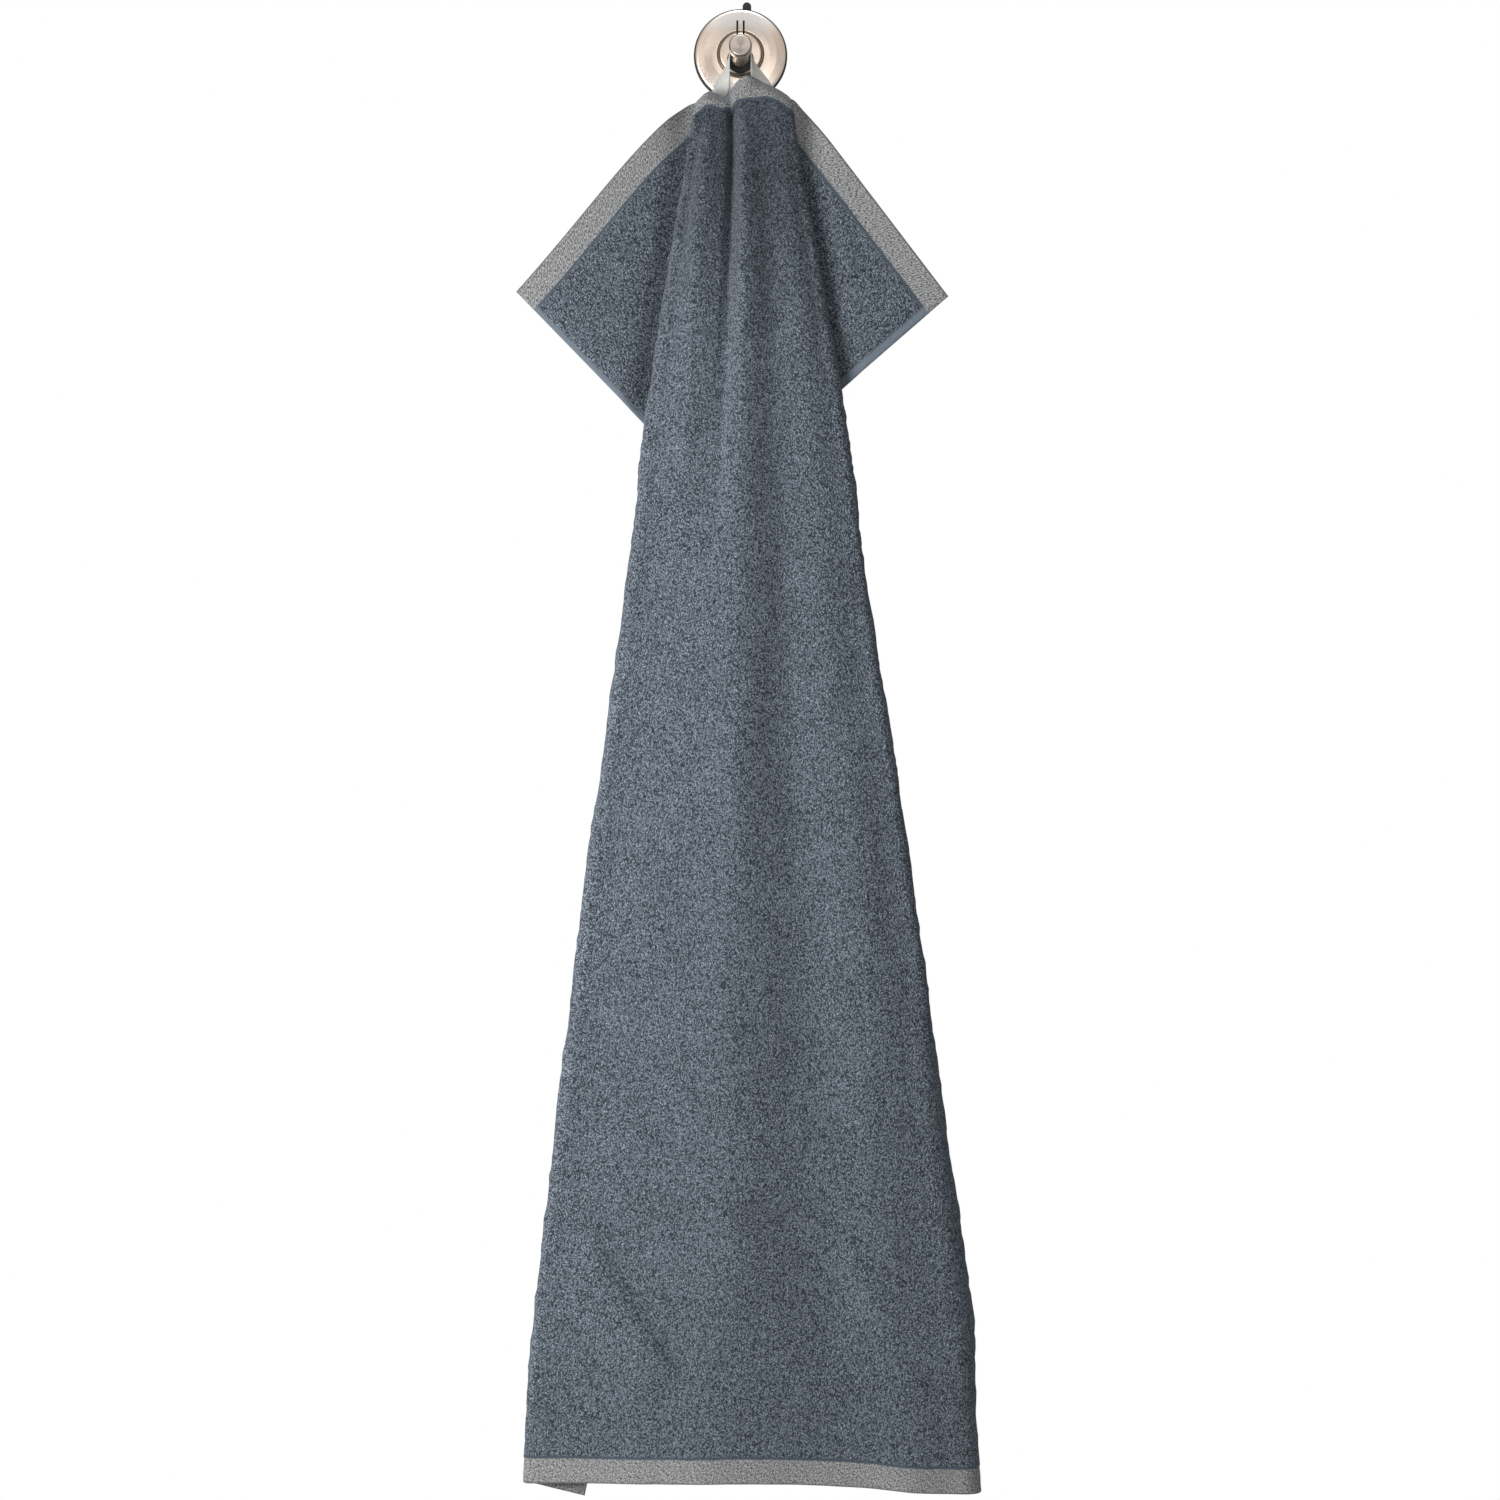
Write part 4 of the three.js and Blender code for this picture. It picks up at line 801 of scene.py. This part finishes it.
# ------------------------------------------------------------------- the pieces
towel = build_towel()
towel.data.materials.append(cloth_material())
tape, tape_long = build_tape()
tape.data.materials.append(tape_material())
rosette, peg, gasket, pad = build_hook()
nickel = metal_material("nickel", (0.0, 0.0, 0.0), groove_shades=[(15.7, 1.5, 0.8, 0.0)])
nickel_peg = metal_material("nickel_peg", (0.0, 0.0, -0.1), base=(0.46, 0.40, 0.355), brushed=0.4, rough=0.38, groove_shades=[(8.0, 1.1, 0.6, 38.8)])
rubber = rubber_material()
for ob, material in ((rosette, nickel), (peg, nickel_peg), (gasket, rubber), (pad, rubber)):
    ob.data.materials.clear()
    ob.data.materials.append(material)

for ob, node, slot in (
    (towel, "towel", "terry"),
    (tape, "hanging_loop", "tape"),
    (rosette, "rosette", "nickel"),
    (peg, "peg", "nickel"),
    (gasket, "peg_gasket", "rubber"),
    (pad, "suction_pad", "rubber"),
):
    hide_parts(node)
    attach(ob, "root")

# -------------------------------------------------------- camera, light and stage
scene = bpy.context.scene
camera = bpy.data.objects.new("camera", bpy.data.cameras.new("camera"))
scene.collection.objects.link(camera)
camera.location = (0.0068, -2.430, -0.4987)
camera.rotation_euler = (math.radians(90), 0, 0)
camera.data.sensor_fit = "HORIZONTAL"
camera.data.angle = 2 * math.atan(750 * 0.71 / 2400)
camera.data.clip_end = 100
scene.camera = camera


def area_light(name, place, aim, size, power, colour=(1, 1, 1)):
    data = bpy.data.lights.new(name, "AREA")
    data.shape, data.size, data.size_y, data.energy, data.color = "RECTANGLE", size[0], size[1], power, colour
    ob = bpy.data.objects.new(name, data)
    ob.location = place
    to = np.array(aim) - np.array(place)
    from mathutils import Vector
    ob.rotation_euler = Vector(to).to_track_quat("-Z", "Y").to_euler()
    scene.collection.objects.link(ob)
    return ob


area_light("key", (-0.64, -0.74, -0.48), (0.0, -0.05, -0.48), (0.6, 0.6), 13.4)
area_light("front", (0.3, -2.6, -0.3), (0.0, -0.04, -0.4), (1.2, 1.4), 8)
area_light("top", (0.0, -0.75, 1.6), (0.0, -0.04, 0.0), (0.35, 0.9), 13)
area_light("back", (0.0, 2.2, -0.2), (0.0, 0.0, -0.45), (0.9, 1.0), 26)

world = bpy.data.worlds.new("studio")
scene.world = world
world.use_nodes = True
tree = world.node_tree
tree.nodes.clear()
output = tree.nodes.new("ShaderNodeOutputWorld")
# the background is white to the eye, dimmer in the metal and dimmer still on the cloth
BACKGROUND = [("seen", "Is Camera Ray", (1.0, 1.0, 1.0, 1), 1.0), ("mirrored", "Is Glossy Ray", (1.0, 1.0, 1.0, 1), 0.62)]
soft = tree.nodes.new("ShaderNodeBackground")
soft.inputs[0].default_value, soft.inputs[1].default_value = (0.95, 0.97, 1.0, 1), 0.13
path = tree.nodes.new("ShaderNodeLightPath")
light = soft.outputs[0]
for name, ray, tint, strength in reversed(BACKGROUND):
    shown, choose = tree.nodes.new("ShaderNodeBackground"), tree.nodes.new("ShaderNodeMixShader")
    shown.name = name
    shown.inputs[0].default_value, shown.inputs[1].default_value = tint, strength
    tree.links.new(path.outputs[ray], choose.inputs[0])
    tree.links.new(light, choose.inputs[1])
    tree.links.new(shown.outputs[0], choose.inputs[2])
    light = choose.outputs[0]
tree.links.new(light, output.inputs[0])


def build_floor():
    mesh = bpy.data.meshes.new("floor")
    steps, radius, z = 64, 0.85, -1.25
    ring = [(radius * math.cos(2 * math.pi * k / steps), radius * math.sin(2 * math.pi * k / steps) - 0.1, z) for k in range(steps)]
    mesh.from_pydata(ring, [], [tuple(range(steps))])
    ob = bpy.data.objects.new("floor", mesh)
    scene.collection.objects.link(ob)
    m = Nodes("floor")
    where = m.add("ShaderNodeTexCoord").outputs["Object"]
    m.set(Base_Color=m.mix(m.noise(where, 6.0, 3.0), (0.80, 0.80, 0.80), (0.84, 0.84, 0.835)), Roughness=0.8)
    mesh.materials.append(m.material)


build_floor()
scene.view_settings.view_transform = "Standard"
scene.view_settings.look = "None"
